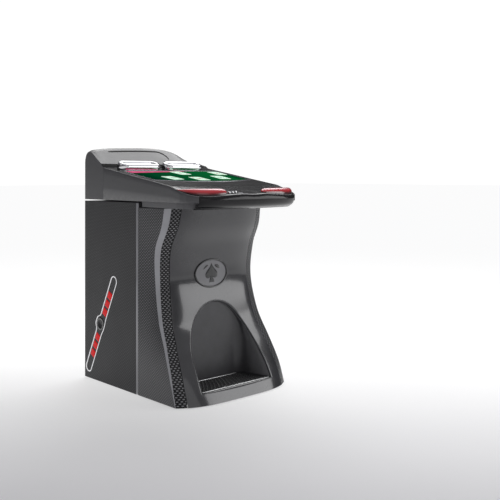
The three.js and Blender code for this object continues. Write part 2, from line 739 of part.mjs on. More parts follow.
// Oval emblem with a spade, standing on the knee panel.
function buildBadge() {
  const oval = (inset) => {
    const shape = new THREE.Shape();
    const halfHeight = badgeHalfWidth * 0.68;
    shape.absellipse(0, badgeHeight, badgeHalfWidth - inset, halfHeight - inset, 0, 2 * Math.PI, false, 0);
    return shape;
  };
  const spade = new THREE.Shape();
  const z = badgeHeight;
  spade.moveTo(0, z + 38);
  spade.bezierCurveTo(6, z + 20, 34, z + 8, 30, z - 10);
  spade.bezierCurveTo(27, z - 24, 8, z - 22, 3, z - 10);
  spade.lineTo(12, z - 34);
  spade.lineTo(-12, z - 34);
  spade.lineTo(-3, z - 10);
  spade.bezierCurveTo(-8, z - 22, -27, z - 24, -30, z - 10);
  spade.bezierCurveTo(-34, z + 8, -6, z + 20, 0, z + 38);
  const reach = Math.min(...steps(z - 60, z + 60, 6).map((height) => faceY(0, height)));
  const back = reach - kneeProud - touchGap;
  const base = prismAlong(oval(0), back - 1.5, back, 14);
  const ring = prismAlong(oval(0), back - 4, back - 1, 14)
    .subtract(prismAlong(oval(7), back - 5, back, 14));
  place('emblem_badge', joined([base, ring, prismAlong(spade, back - 4, back - 1, 4)]), gunmetal());
}

// ---- Console ---------------------------------------------------------------------------------

// Front edge of the console seen from above: share of the half width, and setback from the tip.
const noseOutline = [
  [0, 0], [0.22, 1.5], [0.46, 7], [0.66, 15], [0.8, 26], [0.88, 38], [0.94, 54], [0.98, 76], [1, 105],
];
const noseSetback = profile(noseOutline);
const noseHalf = 247;
const noseSkin = 4;
const rimSetback = 16;
const sagDepth = 4;

function noseFrontY(x) {
  return noseTipY + noseSetback(Math.min(Math.abs(x) / halfWidth, 1));
}

// Top of the console: the flat sloping deck, then a fall from the deck's break to the front rim,
// gentle in the middle and steeper over the two armrest lobes.
const rimRise = profile([[0, 33], [0.2, 31], [0.46, 27], [0.72, 22], [0.9, 25], [0.97, 31], [1, 38]]);

function topZ(x, y) {
  if (y > deckBreakY) return deckBreakZ + (y - deckBreakY) * Math.tan(deckSlope);
  const fall = Math.min((deckBreakY - y) / (deckBreakY - noseFrontY(x)), 1);
  const middle = Math.max(0, 1 - (x / 62) ** 2) ** 2;
  const rim = rimRise(Math.min(Math.abs(x) / halfWidth, 1));
  return deckBreakZ + (rim - deckBreakRise) * fall - sagDepth * middle * fall;
}

function planOutline(inset, rearEdge, frontInset = inset) {
  const half = halfWidth - inset;
  const side = noseOutline.map(([share, setback]) => [share * half, noseTipY + setback + frontInset]);
  const left = side.slice(1).map(([x, y]) => [-x, y]).reverse();
  return [...left, ...side, [half, rearEdge], [-half, rearEdge]];
}

function buildConsoleWalls() {
  const rear = humpFrontY - touchGap;
  const under = loft(steps(noseHalf - 5, halfWidth + 1, 8).map((x) => [
    [x, noseTipY - 5, consoleBottom], [x, noseTipY - 5, topZ(x, noseTipY)],
    ...steps(noseFrontY(x), deckBreakY, 6).map((y) => [x, y, topZ(x, y)]),
    [x, rear, topZ(x, rear)], [x, rear, consoleBottom],
  ]));
  const outer = plate(planOutline(0, humpFrontY), consoleBottom, consoleBottom + 200);
  const inner = plate(planOutline(consoleWall, humpFrontY + 1), consoleBottom - 1, consoleBottom + 201);
  const side = box(noseHalf, halfWidth + 1, noseTipY, humpFrontY, consoleBottom - 1, consoleBottom + 200);
  const wall = outer.subtract(inner).intersect(under).intersect(side);
  place('console_right_wall', wall.subtract(armrestSeats()), carbonPaint());
  place('console_left_wall', mirrored(wall).subtract(armrestSeats()), carbonPaint());
}

// Nose moulding section at one X station: outer skin from the deck to the lip, then back inside.
function noseRing(x) {
  const tip = noseFrontY(x);
  const rimY = tip + rimSetback;
  const tops = steps(deckBreakY - touchGap, rimY, 5).map((y) => [y, topZ(x, y)]);
  const rimZ = topZ(x, rimY);
  const outer = [
    ...tops, [tip + 4, rimZ - 6], [tip, consoleBottom + 8],
    [tip + 9, consoleBottom - 12], [tip + 34, panBottom - 3],
  ];
  const inner = [
    [tip + 34, panBottom], [tip + 12, consoleBottom - 9], [tip + noseSkin + 1, consoleBottom + 8],
    [tip + 9, rimZ - 9],
    ...tops.slice().reverse().map(([y, z]) => [y, z - noseSkin]),
  ];
  return [...outer, ...inner].map(([y, z]) => [x, y, z]);
}

const buttonXs = [-106, -91, -76];
const buttonSetback = 30;
const noseLockX = -56;
const noseLockSetback = 22;
const noseLockDepth = 24;

function buildNose() {
  const reach = halfWidth - consoleWall - fitGap;
  const stations = steps(-reach, reach, 28);
  let nose = loft(stations.map(noseRing));
  const high = consoleBottom + 200;
  const sides = [-1, 1].map((sign) => {
    const [from, to] = sign > 0 ? [noseHalf - fitGap, halfWidth + 5] : [-halfWidth - 5, -noseHalf + fitGap];
    return box(from, to, noseTipY - 5, humpFrontY, panBottom - 10, high);
  });
  const room = plate(planOutline(consoleWall + fitGap, humpFrontY), consoleBottom - touchGap, high);
  nose = nose.subtract(joined(sides).subtract(room));
  const buttonHoles = buttonXs.map((x) => (
    bar('z', buttonRadius + fitGap, consoleBottom, high, [x, noseFrontY(x) + buttonSetback], 20)
  ));
  const lockY = noseFrontY(noseLockX) + noseLockSetback;
  const lockTop = topZ(noseLockX, lockY) + 2;
  const lockAt = [noseLockX, lockY];
  const lockHole = bar('z', lockRadius + fitGap, consoleBottom, high, lockAt, 20);
  nose = nose.subtract(joined([...buttonHoles, lockHole, armrestSeats()]));
  place('nose_moulding', nose, blackPlastic());

  buttonXs.forEach((x, i) => {
    const y = noseFrontY(x) + buttonSetback;
    const top = topZ(x, y) + buttonTravel + 4;
    const flangeTop = topZ(x, y) - noseSkin - 3;
    const outline = [
      [0, flangeTop - 3], [buttonRadius + 2, flangeTop - 3], [buttonRadius + 2, flangeTop],
      [buttonRadius, flangeTop], [buttonRadius, top - 1.2], [buttonRadius - 1.2, top], [0, top],
    ].map(([r, z]) => new THREE.Vector2(r, z));
    const button = solid(new THREE.LatheGeometry(outline, 20).rotateX(Math.PI / 2));
    place(`push_button_${i + 1}`, button.translate([x, y, 0]), chrome());
  });

  const barrel = bar('z', lockRadius, lockTop - noseLockDepth, lockTop, lockAt, 20);
  const keySlot = box(noseLockX - 1, noseLockX + 1, lockY - 4, lockY + 4, lockTop - 2, lockTop + 1);
  const cam = box(
    noseLockX - 5, noseLockX + 24, lockY - 5, lockY + 5,
    lockTop - noseLockDepth, lockTop - noseLockDepth + camThickness,
  );
  place('nose_lock', barrel.subtract(keySlot).add(cam), chrome());
}

// Lit armrest bar lying along one lobe of the nose, rounded across and at both ends.
const armrestWidth = 32;
const armrestCrown = 51;
const armrestSetback = 32;
const armrestInnerX = 118;
const armrestOuterInset = 2;

function armrestRing(x, share) {
  const middleY = noseFrontY(x) + armrestSetback;
  const ease = Math.sqrt(Math.max(1 - Math.abs(2 * share - 1) ** 8, 0.02));
  const half = (armrestWidth / 2) * ease;
  const across = steps(-1, 1, 6);
  const base = across.map((s) => [x, middleY + s * half, topZ(x, middleY + s * half) + 0.6]);
  const height = (consoleBottom + armrestCrown - topZ(x, middleY)) * ease;
  const crown = across.slice(1, -1).reverse().map((s) => {
    const y = middleY + s * half;
    return [x, y, topZ(x, y) + 1.6 + height * Math.sqrt(1 - s * s)];
  });
  return [...base, ...crown];
}

function armrestBody(sign) {
  const outer = halfWidth - armrestOuterInset;
  const inner = sign < 0 ? armrestInnerX : armrestInnerX - 60;
  return loft(steps(0, 1, 16).map((share) => armrestRing(sign * (outer + (inner - outer) * share), share)));
}

// Room below both bars, which keeps the mouldings they lie on clear of them.
function armrestSeats() {
  return joined([-1, 1].flatMap((sign) => [
    armrestBody(sign), armrestBody(sign).translate([0, 0, -touchGap]),
  ]));
}

function buildArmrests() {
  place('armrest_light_left', armrestBody(-1), redLens());
  place('armrest_light_right', armrestBody(1), redLens());
}

// Hump at the rear: ridge and rear top corner heights above its base level, which lies a set drop
// below the deck's rear edge, so that the hump goes up and down with that edge.
const humpBaseDrop = 133.2511;
const ridgeRise = profile([
  [-1, 203], [-0.94, 209], [-0.87, 212], [-0.7, 217], [-0.42, 221], [0, 223], [0.25, 220],
  [0.45, 212], [0.6, 199], [0.757, 175], [0.885, 157], [1, 148],
]);
const cornerRise = profile([
  [-1, 165], [-0.94, 196], [-0.87, 205], [-0.6, 214], [0, 217], [0.45, 207], [0.757, 170], [1, 143],
]);
const ridgeSetback = 48;
const faceFootRise = 153;
const faceFootSetback = 123;
const hingeAxisY = rearY - barrelRadius - 1.2;
const hingeAxisZ = cabinetTop + lidGap / 2;
const lidHingeHalf = 150;
const lidKnuckleHalf = 130;

function humpRing(x, shrink) {
  const share = x / halfWidth;
  const base = topZ(x, humpFrontY) - humpBaseDrop;
  const ridge = base + ridgeRise(share) - shrink;
  const corner = base + cornerRise(share) - shrink;
  const rear = rearY - shrink;
  const open = shrink > 0 ? 12 : 0;
  const foot = humpFrontY + touchGap - open;
  const footTop = topZ(x, humpFrontY) - shrink * 1.3;
  const faceFoot = Math.min(base + faceFootRise - shrink * 1.2, ridge - 4);
  return [
    [rear, consoleBottom - open], [rear, corner], [rear - 10, corner + (ridge - corner) * 0.7],
    [rear - 30, ridge], [rearY - ridgeSetback, ridge - 2], [rearY - faceFootSetback, faceFoot],
    [foot, footTop], [foot, consoleBottom - open],
  ].map(([y, z]) => [x, y, z]);
}

function buildHump() {
  const reach = halfWidth - humpWall;
  const shares = [-1, -0.97, -0.94, -0.87, -0.7, -0.42, -0.2, 0, 0.25, 0.45, 0.6, 0.757, 0.885, 1];
  const outer = loft(shares.map((share) => humpRing(share * halfWidth, 0)));
  const inner = loft(shares.map((share) => humpRing(share * reach, humpWall)));
  const knuckleFrom = -lidKnuckleHalf + touchGap;
  const knuckleTo = lidKnuckleHalf - touchGap;
  const notch = box(
    -lidHingeHalf - 1, lidHingeHalf + 1, rearY - 12, rearY + 1,
    consoleBottom - 1, hingeAxisZ + barrelRadius + 1.5,
  );
  const axis = [hingeAxisY, hingeAxisZ];
  const knuckle = bar('x', barrelRadius, knuckleFrom, knuckleTo, axis, 16);
  const leaf = box(knuckleFrom, knuckleTo, rearY - humpWall, rearY - humpWall + 3,
    hingeAxisZ + 1, consoleBottom + 18);
  const bore = bar('x', pinRadius + pinClearance, -lidHingeHalf, lidHingeHalf, axis, 16);
  const strip = loft(stripStations().map((station) => stripRing(station, 0.4)));
  const hump = outer.subtract(inner).subtract(notch).add(leaf).add(knuckle).subtract(bore).subtract(strip);
  place('hump_cover', hump, greyMoulding());
  place('hump_strip', loft(stripStations().map((station) => stripRing(station, 0))), blackPlastic());

  const pin = bar('x', pinRadius, -lidHingeHalf, lidHingeHalf, axis, 16);
  const ends = [-1, 1].map((side) => {
    const [from, to] = side > 0 ? [lidKnuckleHalf, lidHingeHalf] : [-lidHingeHalf, -lidKnuckleHalf];
    return bar('x', barrelRadius, from, to, axis, 16)
      .add(box(from, to, panelFaceY + touchGap, hingeAxisY + 1, cabinetTop - 26, hingeAxisZ));
  });
  place('console_hinge', joined([pin, ...ends]), steel());
}

// Thin dark strip let into the hump's face: level along the top, then turning down at its right end.
const stripWidth = 8;
const stripDepth = 2;

function stripStations() {
  const level = steps(-208, 40, 5).map((x) => ({ x, drop: 0.2 }));
  const turn = steps(0, 1, 5).slice(1).map((t) => (
    { x: 40 + 48 * Math.sin((t * Math.PI) / 2), drop: 0.2 + 0.5 * t * t }
  ));
  return [...level, ...turn];
}

function stripRing(station, grow) {
  const ring = humpRing(station.x, 0);
  const [, topY, topZed] = ring[4];
  const [, footY, footZ] = ring[5];
  const length = Math.hypot(topY - footY, topZed - footZ);
  const down = [(footY - topY) / length, (footZ - topZed) / length];
  const out = [down[1], -down[0]];
  const at = (distance, lift) => [
    station.x,
    topY + down[0] * distance + out[0] * lift,
    topZed + down[1] * distance + out[1] * lift,
  ];
  const centre = station.drop * length;
  const half = stripWidth / 2 + grow;
  const low = -stripDepth - grow;
  const high = grow > 0 ? 6 : 0.2;
  return [at(centre - half, low), at(centre + half, low), at(centre + half, high), at(centre - half, high)];
}

// Tray that closes the console from below: deep ahead of the seam, flat over the rear module.
function buildConsolePan() {
  const stepY = seamY - 14;
  const half = halfWidth - consoleWall - fitGap;
  const panTop = consoleBottom + sheetThickness;
  const trayInset = 11.5;
  const deep = plate(planOutline(trayInset, stepY, 36), panBottom, panTop)
    .subtract(plate(planOutline(trayInset + sheetThickness, stepY - sheetThickness, 36 + sheetThickness),
      panBottom + sheetThickness, panTop + 1));
  const flat = box(-half, half, stepY - sheetThickness, rearY - humpWall - 6, consoleBottom, panTop)
    .subtract(box(-150, 150, humpFrontY - 180, humpFrontY - 60, consoleBottom - 1, panTop + 1));
  place('console_pan', deep.add(flat), steel());
}

// ---- Deck: built flat in its own frame, then tilted onto the slope -----------------------------

const deckRun = (humpFrontY - deckBreakY) / Math.cos(deckSlope);
const deckHalf = halfWidth - consoleWall - fitGap;
const glassHalf = deckHalf - glassMargin;
const glassFront = 88;
const glassFrontRise = 45;
const bezelMargin = 12;
const bezelMiddleY = deckRun - bezelMargin - bezelDepth / 2;
const glassRear = bezelMiddleY - bezelDepth / 2 - 8;
const bezelGap = 28;
const bezelShift = -22;
const bezelReach = (bezelWidth + bezelGap) / 2;
const ticketSlot = { length: 90, width: 5 };

function glassOutline(inset) {
  const half = glassHalf - inset;
  const front = steps(-half, half, 14).map((x) => (
    [x, glassFront + inset + glassFrontRise * (x / glassHalf) ** 2]
  ));
  return [...front, [half, glassRear - inset], [-half, glassRear - inset]];
}

function bezelOutline(x) {
  const r = bezelDepth / 2;
  const reach = bezelWidth / 2 - r;
  const shape = new THREE.Shape();
  shape.absarc(x + reach, bezelMiddleY, r, -Math.PI / 2, Math.PI / 2, false);
  shape.absarc(x - reach, bezelMiddleY, r, Math.PI / 2, 1.5 * Math.PI, false);
  return shape;
}

function buildDeck() {
  const deck = new THREE.Group();
  deck.position.set(0, deckBreakY, deckBreakZ);
  deck.rotation.x = deckSlope;
  group.add(deck);

  const slotHole = (x, grow) => box(
    x - ticketSlot.length / 2 - grow, x + ticketSlot.length / 2 + grow,
    bezelMiddleY - ticketSlot.width / 2 - grow, bezelMiddleY + ticketSlot.width / 2 + grow, -60, 60,
  );
  const frame = box(-deckHalf, deckHalf, fitGap, deckRun - fitGap - 1, -deckThickness, 0)
    .subtract(plate(glassOutline(0), -20, 20))
    .subtract(slotHole(bezelShift - bezelReach, 4))
    .subtract(slotHole(bezelShift + bezelReach, 4));
  place('deck_frame', frame, blackPlastic(), deck);
  const glass = plate(glassOutline(fitGap), -glassThickness, -0.1);
  place('display_glass', glass, material(0x0a5a2c, 0.08, 0), deck);
  const panelTop = -Math.max(glassThickness, deckThickness) - touchGap;
  const panelFront = glassFront - 8;
  const panel = box(-glassHalf - 6, glassHalf + 6, panelFront, glassRear + 6, panelTop - 18, panelTop);
  place('display_panel', panel, blackPlastic(), deck);

  const bezelTop = wallAcross([
    [bezelMiddleY - bezelDepth, bezelFrontHeight], [bezelMiddleY - bezelDepth / 2, bezelFrontHeight],
    [bezelMiddleY + bezelDepth / 2, bezelRearHeight], [bezelMiddleY + bezelDepth, bezelRearHeight],
    [bezelMiddleY + bezelDepth, bezelRearHeight * 2], [bezelMiddleY - bezelDepth, bezelRearHeight * 2],
  ], -halfWidth, halfWidth);
  [['ticket_bezel', -1], ['bill_bezel', 1]].forEach(([name, side]) => {
    const x = bezelShift + side * bezelReach;
    const bezel = plate(bezelOutline(x), touchGap, bezelRearHeight + 5, 10).subtract(slotHole(x, 0));
    place(name, bezel.subtract(bezelTop), chrome(), deck);
  });
  const units = [
    ['ticket_printer', bezelShift - bezelReach, 78], ['bill_validator', bezelShift + bezelReach, 96],
  ];
  units.forEach(([name, x, depth]) => {
    const top = -deckThickness - touchGap;
    const wall = 2;
    const front = glassRear + 8;
    const rear = deckRun + 40;
    const unit = box(x - 62, x + 62, front, rear, top - depth, top)
      .subtract(box(x - 62 + wall, x + 62 - wall, front + wall, rear - wall, top - depth + wall, top - wall))
      .subtract(slotHole(x, 1).intersect(box(x - 90, x + 90, 0, 2 * deckRun, top - wall - 1, top + 1)));
    place(name, unit, steel(), deck);
  });
}

buildSideWalls();
buildInlays();
buildFeet();
buildRearStructure();
buildServiceDoor();
buildFan();
buildDrawer();
buildElectrics();
buildFrontModule();
buildBadge();
buildConsoleWalls();
buildNose();
buildArmrests();
buildHump();
buildConsolePan();
buildDeck();

export default group;
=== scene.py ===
import math

import bmesh
import bpy
import numpy as np
from mathutils import Matrix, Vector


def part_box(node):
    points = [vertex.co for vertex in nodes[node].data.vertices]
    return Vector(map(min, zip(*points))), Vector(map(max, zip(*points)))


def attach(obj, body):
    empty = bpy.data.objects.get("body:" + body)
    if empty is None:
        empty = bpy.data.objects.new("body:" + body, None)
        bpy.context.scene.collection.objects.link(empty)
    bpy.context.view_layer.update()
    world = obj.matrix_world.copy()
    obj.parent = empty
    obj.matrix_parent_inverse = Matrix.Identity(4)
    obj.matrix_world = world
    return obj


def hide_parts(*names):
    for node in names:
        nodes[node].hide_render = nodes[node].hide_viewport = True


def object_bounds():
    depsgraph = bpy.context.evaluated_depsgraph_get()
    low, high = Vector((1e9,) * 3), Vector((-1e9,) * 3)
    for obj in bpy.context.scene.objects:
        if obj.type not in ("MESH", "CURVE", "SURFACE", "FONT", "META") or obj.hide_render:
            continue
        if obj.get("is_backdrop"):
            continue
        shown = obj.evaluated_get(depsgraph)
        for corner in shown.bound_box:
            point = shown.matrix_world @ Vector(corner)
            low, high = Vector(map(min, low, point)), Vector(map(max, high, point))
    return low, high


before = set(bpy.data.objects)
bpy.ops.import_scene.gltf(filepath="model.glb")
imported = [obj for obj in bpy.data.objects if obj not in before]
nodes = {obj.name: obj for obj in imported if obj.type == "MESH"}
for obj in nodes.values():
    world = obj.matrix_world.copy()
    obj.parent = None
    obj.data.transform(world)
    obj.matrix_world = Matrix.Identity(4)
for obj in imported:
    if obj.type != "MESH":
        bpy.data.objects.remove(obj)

cadBox = [list(corner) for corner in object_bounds()]


def boxOf(node):
    # lowest and highest corner of a CAD node in millimetres
    low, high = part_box(node)
    return np.array(low) * 1000, np.array(high) * 1000


# everything below is worked out in millimetres and turned to metres where a mesh is made
cabinet = {
    "halfWidth": boxOf("left_rear_side")[0][0] * -1,
    "rearY": boxOf("left_rear_side")[1][1],
    "seamY": boxOf("left_rear_side")[0][1],
    "noseTip": boxOf("nose_moulding")[0][1],
    "bodyBottom": boxOf("knee_panel")[0][2],
    "frontTop": boxOf("knee_panel")[1][2],
    "consoleBottom": boxOf("console_left_wall")[0][2],
    "panBottom": boxOf("console_pan")[0][2],
}
half, rearY, seamY, noseTip = (cabinet[k] for k in ("halfWidth", "rearY", "seamY", "noseTip"))
bodyBottom, frontTop, consoleBottom = (cabinet[k] for k in ("bodyBottom", "frontTop", "consoleBottom"))
print("frame loaded", len(nodes), "nodes")

shot = {"place": (-2.019, -2.539, 0.860), "turn": -42.67, "lens": 56.16, "shift": -0.1496}
cameraData = bpy.data.cameras.new("camera")
cameraData.lens = shot["lens"]
cameraData.shift_y = shot["shift"]
camera = bpy.data.objects.new("camera", cameraData)
camera.location = shot["place"]
camera.rotation_euler = (math.radians(90), 0, math.radians(shot["turn"]))
bpy.context.scene.collection.objects.link(camera)
bpy.context.scene.camera = camera


def smoothCurve(points):
    # cubic through [position, value] points, with each slope taken across the two neighbours
    at, value = np.array(points, float).T
    index = np.arange(len(at))
    before, after = np.maximum(index - 1, 0), np.minimum(index + 1, len(at) - 1)
    slope = (value[after] - value[before]) / (at[after] - at[before])

    def read(position):
        p = np.clip(np.asarray(position, float), at[0], at[-1])
        i = np.clip(np.searchsorted(at, p, side="right") - 1, 0, len(at) - 2)
        span = at[i + 1] - at[i]
        t = (p - at[i]) / span
        rise = value[i + 1] - value[i]
        cubic = (slope[i] + slope[i + 1]) * span - 2 * rise
        square = 3 * rise - (2 * slope[i] + slope[i + 1]) * span
        return value[i] + t * (slope[i] * span + t * (square + t * cubic))

    return read


def stack(*columns):
    # joins coordinate arrays of matching or repeatable shapes into one array of points
    return np.stack(np.broadcast_arrays(*[np.asarray(c, float) for c in columns]), axis=-1)


def circle(count):
    # angles that divide a full turn evenly
    return np.linspace(0, 2 * math.pi, count, endpoint=False)


def squircle(wide, tall, count):
    # closed outline of a superellipse of power 8, given as its two coordinates
    a = circle(count)
    across, up = (np.sign(v) * np.abs(v) ** (2 / 8) for v in (np.cos(a), np.sin(a)))
    return across * wide / 2, up * tall / 2


def roundedPath(corners, radii, steps=5):
    # rows of corner points; each inner corner is swapped for a quadratic arc that starts and ends
    # radius away from it, and no further than 0.45 of the way to its neighbours
    corners = np.asarray(corners, float)
    out = [corners[..., :1, :]]
    t = np.linspace(0, 1, steps)[:, None]
    for i, radius in enumerate(radii, start=1):
        here = corners[..., i, :][..., None, :]
        arms = []
        for other in (corners[..., i - 1, :], corners[..., (i + 1) % corners.shape[-2], :]):
            arm = other[..., None, :] - here
            length = np.maximum(np.linalg.norm(arm, axis=-1, keepdims=True), 1e-6)
            arms.append(arm / length * np.minimum(radius, length * 0.45))
        out.append((1 - t) ** 2 * (here + arms[0]) + 2 * t * (1 - t) * here + t ** 2 * (here + arms[1]))
    if len(radii) == corners.shape[-2] - 2:
        out.append(corners[..., -1:, :])
    return np.concatenate(out, axis=-2)


def grid(points, closeAcross=False, closeAlong=False, caps="", look=0):
    # points is rows x columns x 3; neighbouring points become quads, and caps names the closed ends
    rows, columns = points.shape[:2]
    r = np.arange(rows if closeAlong else rows - 1)[:, None]
    c = np.arange(columns if closeAcross else columns - 1)[None, :]
    r2, c2 = (r + 1) % rows, (c + 1) % columns
    quads = np.stack(np.broadcast_arrays(
        r * columns + c, r * columns + c2, r2 * columns + c2, r2 * columns + c), axis=-1).reshape(-1, 4)
    looks = np.broadcast_to(np.asarray(look), (len(r), c.shape[1])).reshape(-1)
    faces = quads.tolist()
    looks = looks.tolist()
    if "s" in caps:
        faces.append(list(range(columns))[::-1])
        looks.append(looks[0] if np.ndim(look) == 0 else int(np.max(look)))
    if "e" in caps:
        faces.append(list(range((rows - 1) * columns, rows * columns)))
        looks.append(looks[0] if np.ndim(look) == 0 else int(np.max(look)))
    return points.reshape(-1, 3), faces, looks


def mirroredPart(part):
    # a part mirrored in the middle plane
    points, faces, looks = part
    return points * (-1, 1, 1), faces, looks


def makePiece(name, parts, looks, body, slot, replaces=(), towards=None, wall=0, bevel=0, crease=38,
              merge=0.02, bevelSteps=3):
    # parts are (points, faces, look numbers) in millimetres; the piece is merged, turned outwards
    # and given its wall and bevels by modifiers
    points, faces, numbers, start = [], [], [], 0
    for partPoints, partFaces, partLooks in parts:
        points.append(partPoints)
        faces += [[k + start for k in face] for face in partFaces]
        numbers += list(partLooks)
        start += len(partPoints)
    mesh = bpy.data.meshes.new(name)
    mesh.from_pydata((np.concatenate(points) / 1000).tolist(), [], faces)
    mesh.polygons.foreach_set("material_index", np.array(numbers, np.int32))
    for look in looks:
        mesh.materials.append(look)
    work = bmesh.new()
    work.from_mesh(mesh)
    bmesh.ops.remove_doubles(work, verts=work.verts, dist=merge / 1000)
    bmesh.ops.dissolve_degenerate(work, edges=work.edges, dist=1e-7)
    bmesh.ops.recalc_face_normals(work, faces=work.faces)
    if towards is not None:
        facing = sum(f.calc_area() * f.normal.dot(towards) for f in work.faces)
        if facing < 0:
            bmesh.ops.reverse_faces(work, faces=work.faces)
    work.to_mesh(mesh)
    work.free()
    mesh.shade_smooth()
    mesh.set_sharp_from_angle(angle=math.radians(crease))
    piece = bpy.data.objects.new(name, mesh)
    bpy.context.scene.collection.objects.link(piece)
    if wall:
        solid = piece.modifiers.new("wall", "SOLIDIFY")
        solid.thickness = wall / 1000
        solid.offset = -1
    if bevel:
        edge = piece.modifiers.new("edges", "BEVEL")
        edge.width = bevel / 1000
        edge.segments = bevelSteps
        edge.limit_method = "ANGLE"
        edge.angle_limit = math.radians(crease)
        edge.harden_normals = False
    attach(piece, body)
    if replaces:
        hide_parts(*replaces)
    return piece


def makePair(name, part, looks, body, slot, replaced=None, towards=None, **settings):
    # the right piece and its mirror image on the left; the side's name is put into both names
    for side, sign, own in (("right", 1, part), ("left", -1, mirroredPart(part))):
        facing = towards and (sign * towards[0], *towards[1:])
        makePiece(
            name.format(side), [own], looks, body, slot, [replaced.format(side)] if replaced else (),
            towards=facing, **settings)


def pierce(piece, holes):
    # cuts upright round holes through a walled piece and keeps the result;
    # a hole is given as (x, y, radius, low, high)
    work = bmesh.new()
    for x, y, radius, low, high in holes:
        place = Matrix.Translation((x / 1000, y / 1000, (low + high) / 2000))
        bmesh.ops.create_cone(work, cap_ends=True, segments=36, radius1=radius / 1000, radius2=radius / 1000,
                              depth=(high - low) / 1000, matrix=place)
    mesh = bpy.data.meshes.new("drill")
    work.to_mesh(mesh)
    work.free()
    drill = bpy.data.objects.new("drill", mesh)
    bpy.context.scene.collection.objects.link(drill)
    cut = piece.modifiers.new("holes", "BOOLEAN")
    cut.operation, cut.solver, cut.object, cut.use_self = "DIFFERENCE", "EXACT", drill, True
    ready = piece.evaluated_get(bpy.context.evaluated_depsgraph_get())
    piece.data = bpy.data.meshes.new_from_object(ready)
    piece.modifiers.clear()
    bpy.data.objects.remove(drill)
    bpy.data.meshes.remove(mesh)


def turned(profile, centre, axis="z", sides=40, look=0):
    # profile is [radius, height] rows from the axis outwards and back; it is spun about the axis
    radius, height = np.array(profile, float).T
    angle = circle(sides)[:, None]
    across, up = radius * np.cos(angle), radius * np.sin(angle)
    along = np.broadcast_to(height, across.shape)
    order = {"z": (across, up, along), "y": (across, along, up), "x": (along, across, up)}[axis]
    return grid(stack(*order) + np.array(centre, float), closeAlong=True, look=look)


def slab(x0, x1, y0, y1, z0, z1, look=0):
    # six-sided block as one closed strip of four corners between two levels, capped
    ring = np.array([[x0, y0], [x1, y0], [x1, y1], [x0, y1]], float)
    rows = np.stack([np.c_[ring, np.full(4, z)] for z in (z0, z1)])
    return grid(rows, closeAcross=True, caps="se", look=look)


def newGroup(name, inputs, outputs):
    # empty shader group with its sockets, and the nodes they are read from and written to
    group = bpy.data.node_groups.new(name, "ShaderNodeTree")
    for label, kind, value in inputs:
        socket = group.interface.new_socket(name=label, in_out="INPUT", socket_type=kind)
        socket.default_value = value
    for label, kind in outputs:
        group.interface.new_socket(name=label, in_out="OUTPUT", socket_type=kind)
    return group, group.nodes.new("NodeGroupInput"), group.nodes.new("NodeGroupOutput")


def feed(tree, node, inputs):
    # sets each input to a plain value, or links it when a socket is given
    for label, value in inputs.items():
        if isinstance(value, bpy.types.NodeSocket):
            tree.links.new(value, node.inputs[label])
        elif value is not None:
            node.inputs[label].default_value = value
    return node


def addNode(tree, kind, **inputs):
    # one shader node with the inputs whose names have no space in them
    return feed(tree, tree.nodes.new("ShaderNode" + kind), inputs)


def axesOf(tree, vector):
    # the three coordinates of a vector as sockets named X, Y and Z
    return addNode(tree, "SeparateXYZ", Vector=vector).outputs


def objectPlace(tree):
    # the point in the object's own coordinates
    return addNode(tree, "TexCoord").outputs["Object"]


def calc(tree, operation, first, second=None):
    # one math node; its inputs are sockets or plain numbers
    node = tree.nodes.new("ShaderNodeMath")
    node.operation = operation
    return feed(tree, node, {0: first, 1: second}).outputs[0]


def noiseOn(tree, vector, scale, detail=3.0):
    # noise texture read at a vector
    return addNode(tree, "TexNoise", Vector=vector, Scale=scale, Detail=detail).outputs["Fac"]


def spread(tree, value, low, high, toLow=0.0, toHigh=1.0):
    # maps the range low to high on to another range, clamped
    inputs = {"Value": value, "From Min": low, "From Max": high, "To Min": toLow, "To Max": toHigh}
    return feed(tree, tree.nodes.new("ShaderNodeMapRange"), inputs).outputs["Result"]


def makeGrain():
    # fine mottling: a small noise for the height, and a large one blended in for the shade
    group, given, out = newGroup(
        "grain", [("Scale", "NodeSocketFloat", 400.0)],
        [("Shade", "NodeSocketFloat"), ("Height", "NodeSocketFloat")])
    where = objectPlace(group)
    fine = noiseOn(group, where, given.outputs["Scale"])
    broad = noiseOn(group, where, calc(group, "MULTIPLY", given.outputs["Scale"], 0.03))
    shade = calc(group, "ADD", calc(group, "MULTIPLY", fine, 0.45), calc(group, "MULTIPLY", broad, 0.55))
    feed(group, out, {"Shade": shade, "Height": fine})
    return group


def makeWear():
    # rubbed edges: where the surface is sharply convex, broken up by noise
    group, given, out = newGroup(
        "edgeWear", [("Amount", "NodeSocketFloat", 0.5)], [("Mask", "NodeSocketFloat")])
    where = objectPlace(group)
    sharp = spread(group, addNode(group, "NewGeometry").outputs["Pointiness"], 0.52, 0.62)
    broken = spread(group, noiseOn(group, where, 60.0, 5.0), 0.4, 0.65)
    mask = calc(group, "MULTIPLY", calc(group, "MULTIPLY", sharp, broken), given.outputs["Amount"])
    feed(group, out, {"Mask": mask})
    return group


def makeDust():
    # settled dust: more where the surface looks up, broken up by noise
    group, given, out = newGroup(
        "dust", [("Amount", "NodeSocketFloat", 0.1)], [("Mask", "NodeSocketFloat")])
    where = objectPlace(group)
    up = spread(group, axesOf(group, addNode(group, "NewGeometry").outputs["Normal"])["Z"], 0.2, 1.0)
    patchy = spread(group, noiseOn(group, where, 9.0, 6.0), 0.35, 0.8)
    mask = calc(group, "MULTIPLY", calc(group, "MULTIPLY", up, patchy), given.outputs["Amount"])
    feed(group, out, {"Mask": mask})
    return group


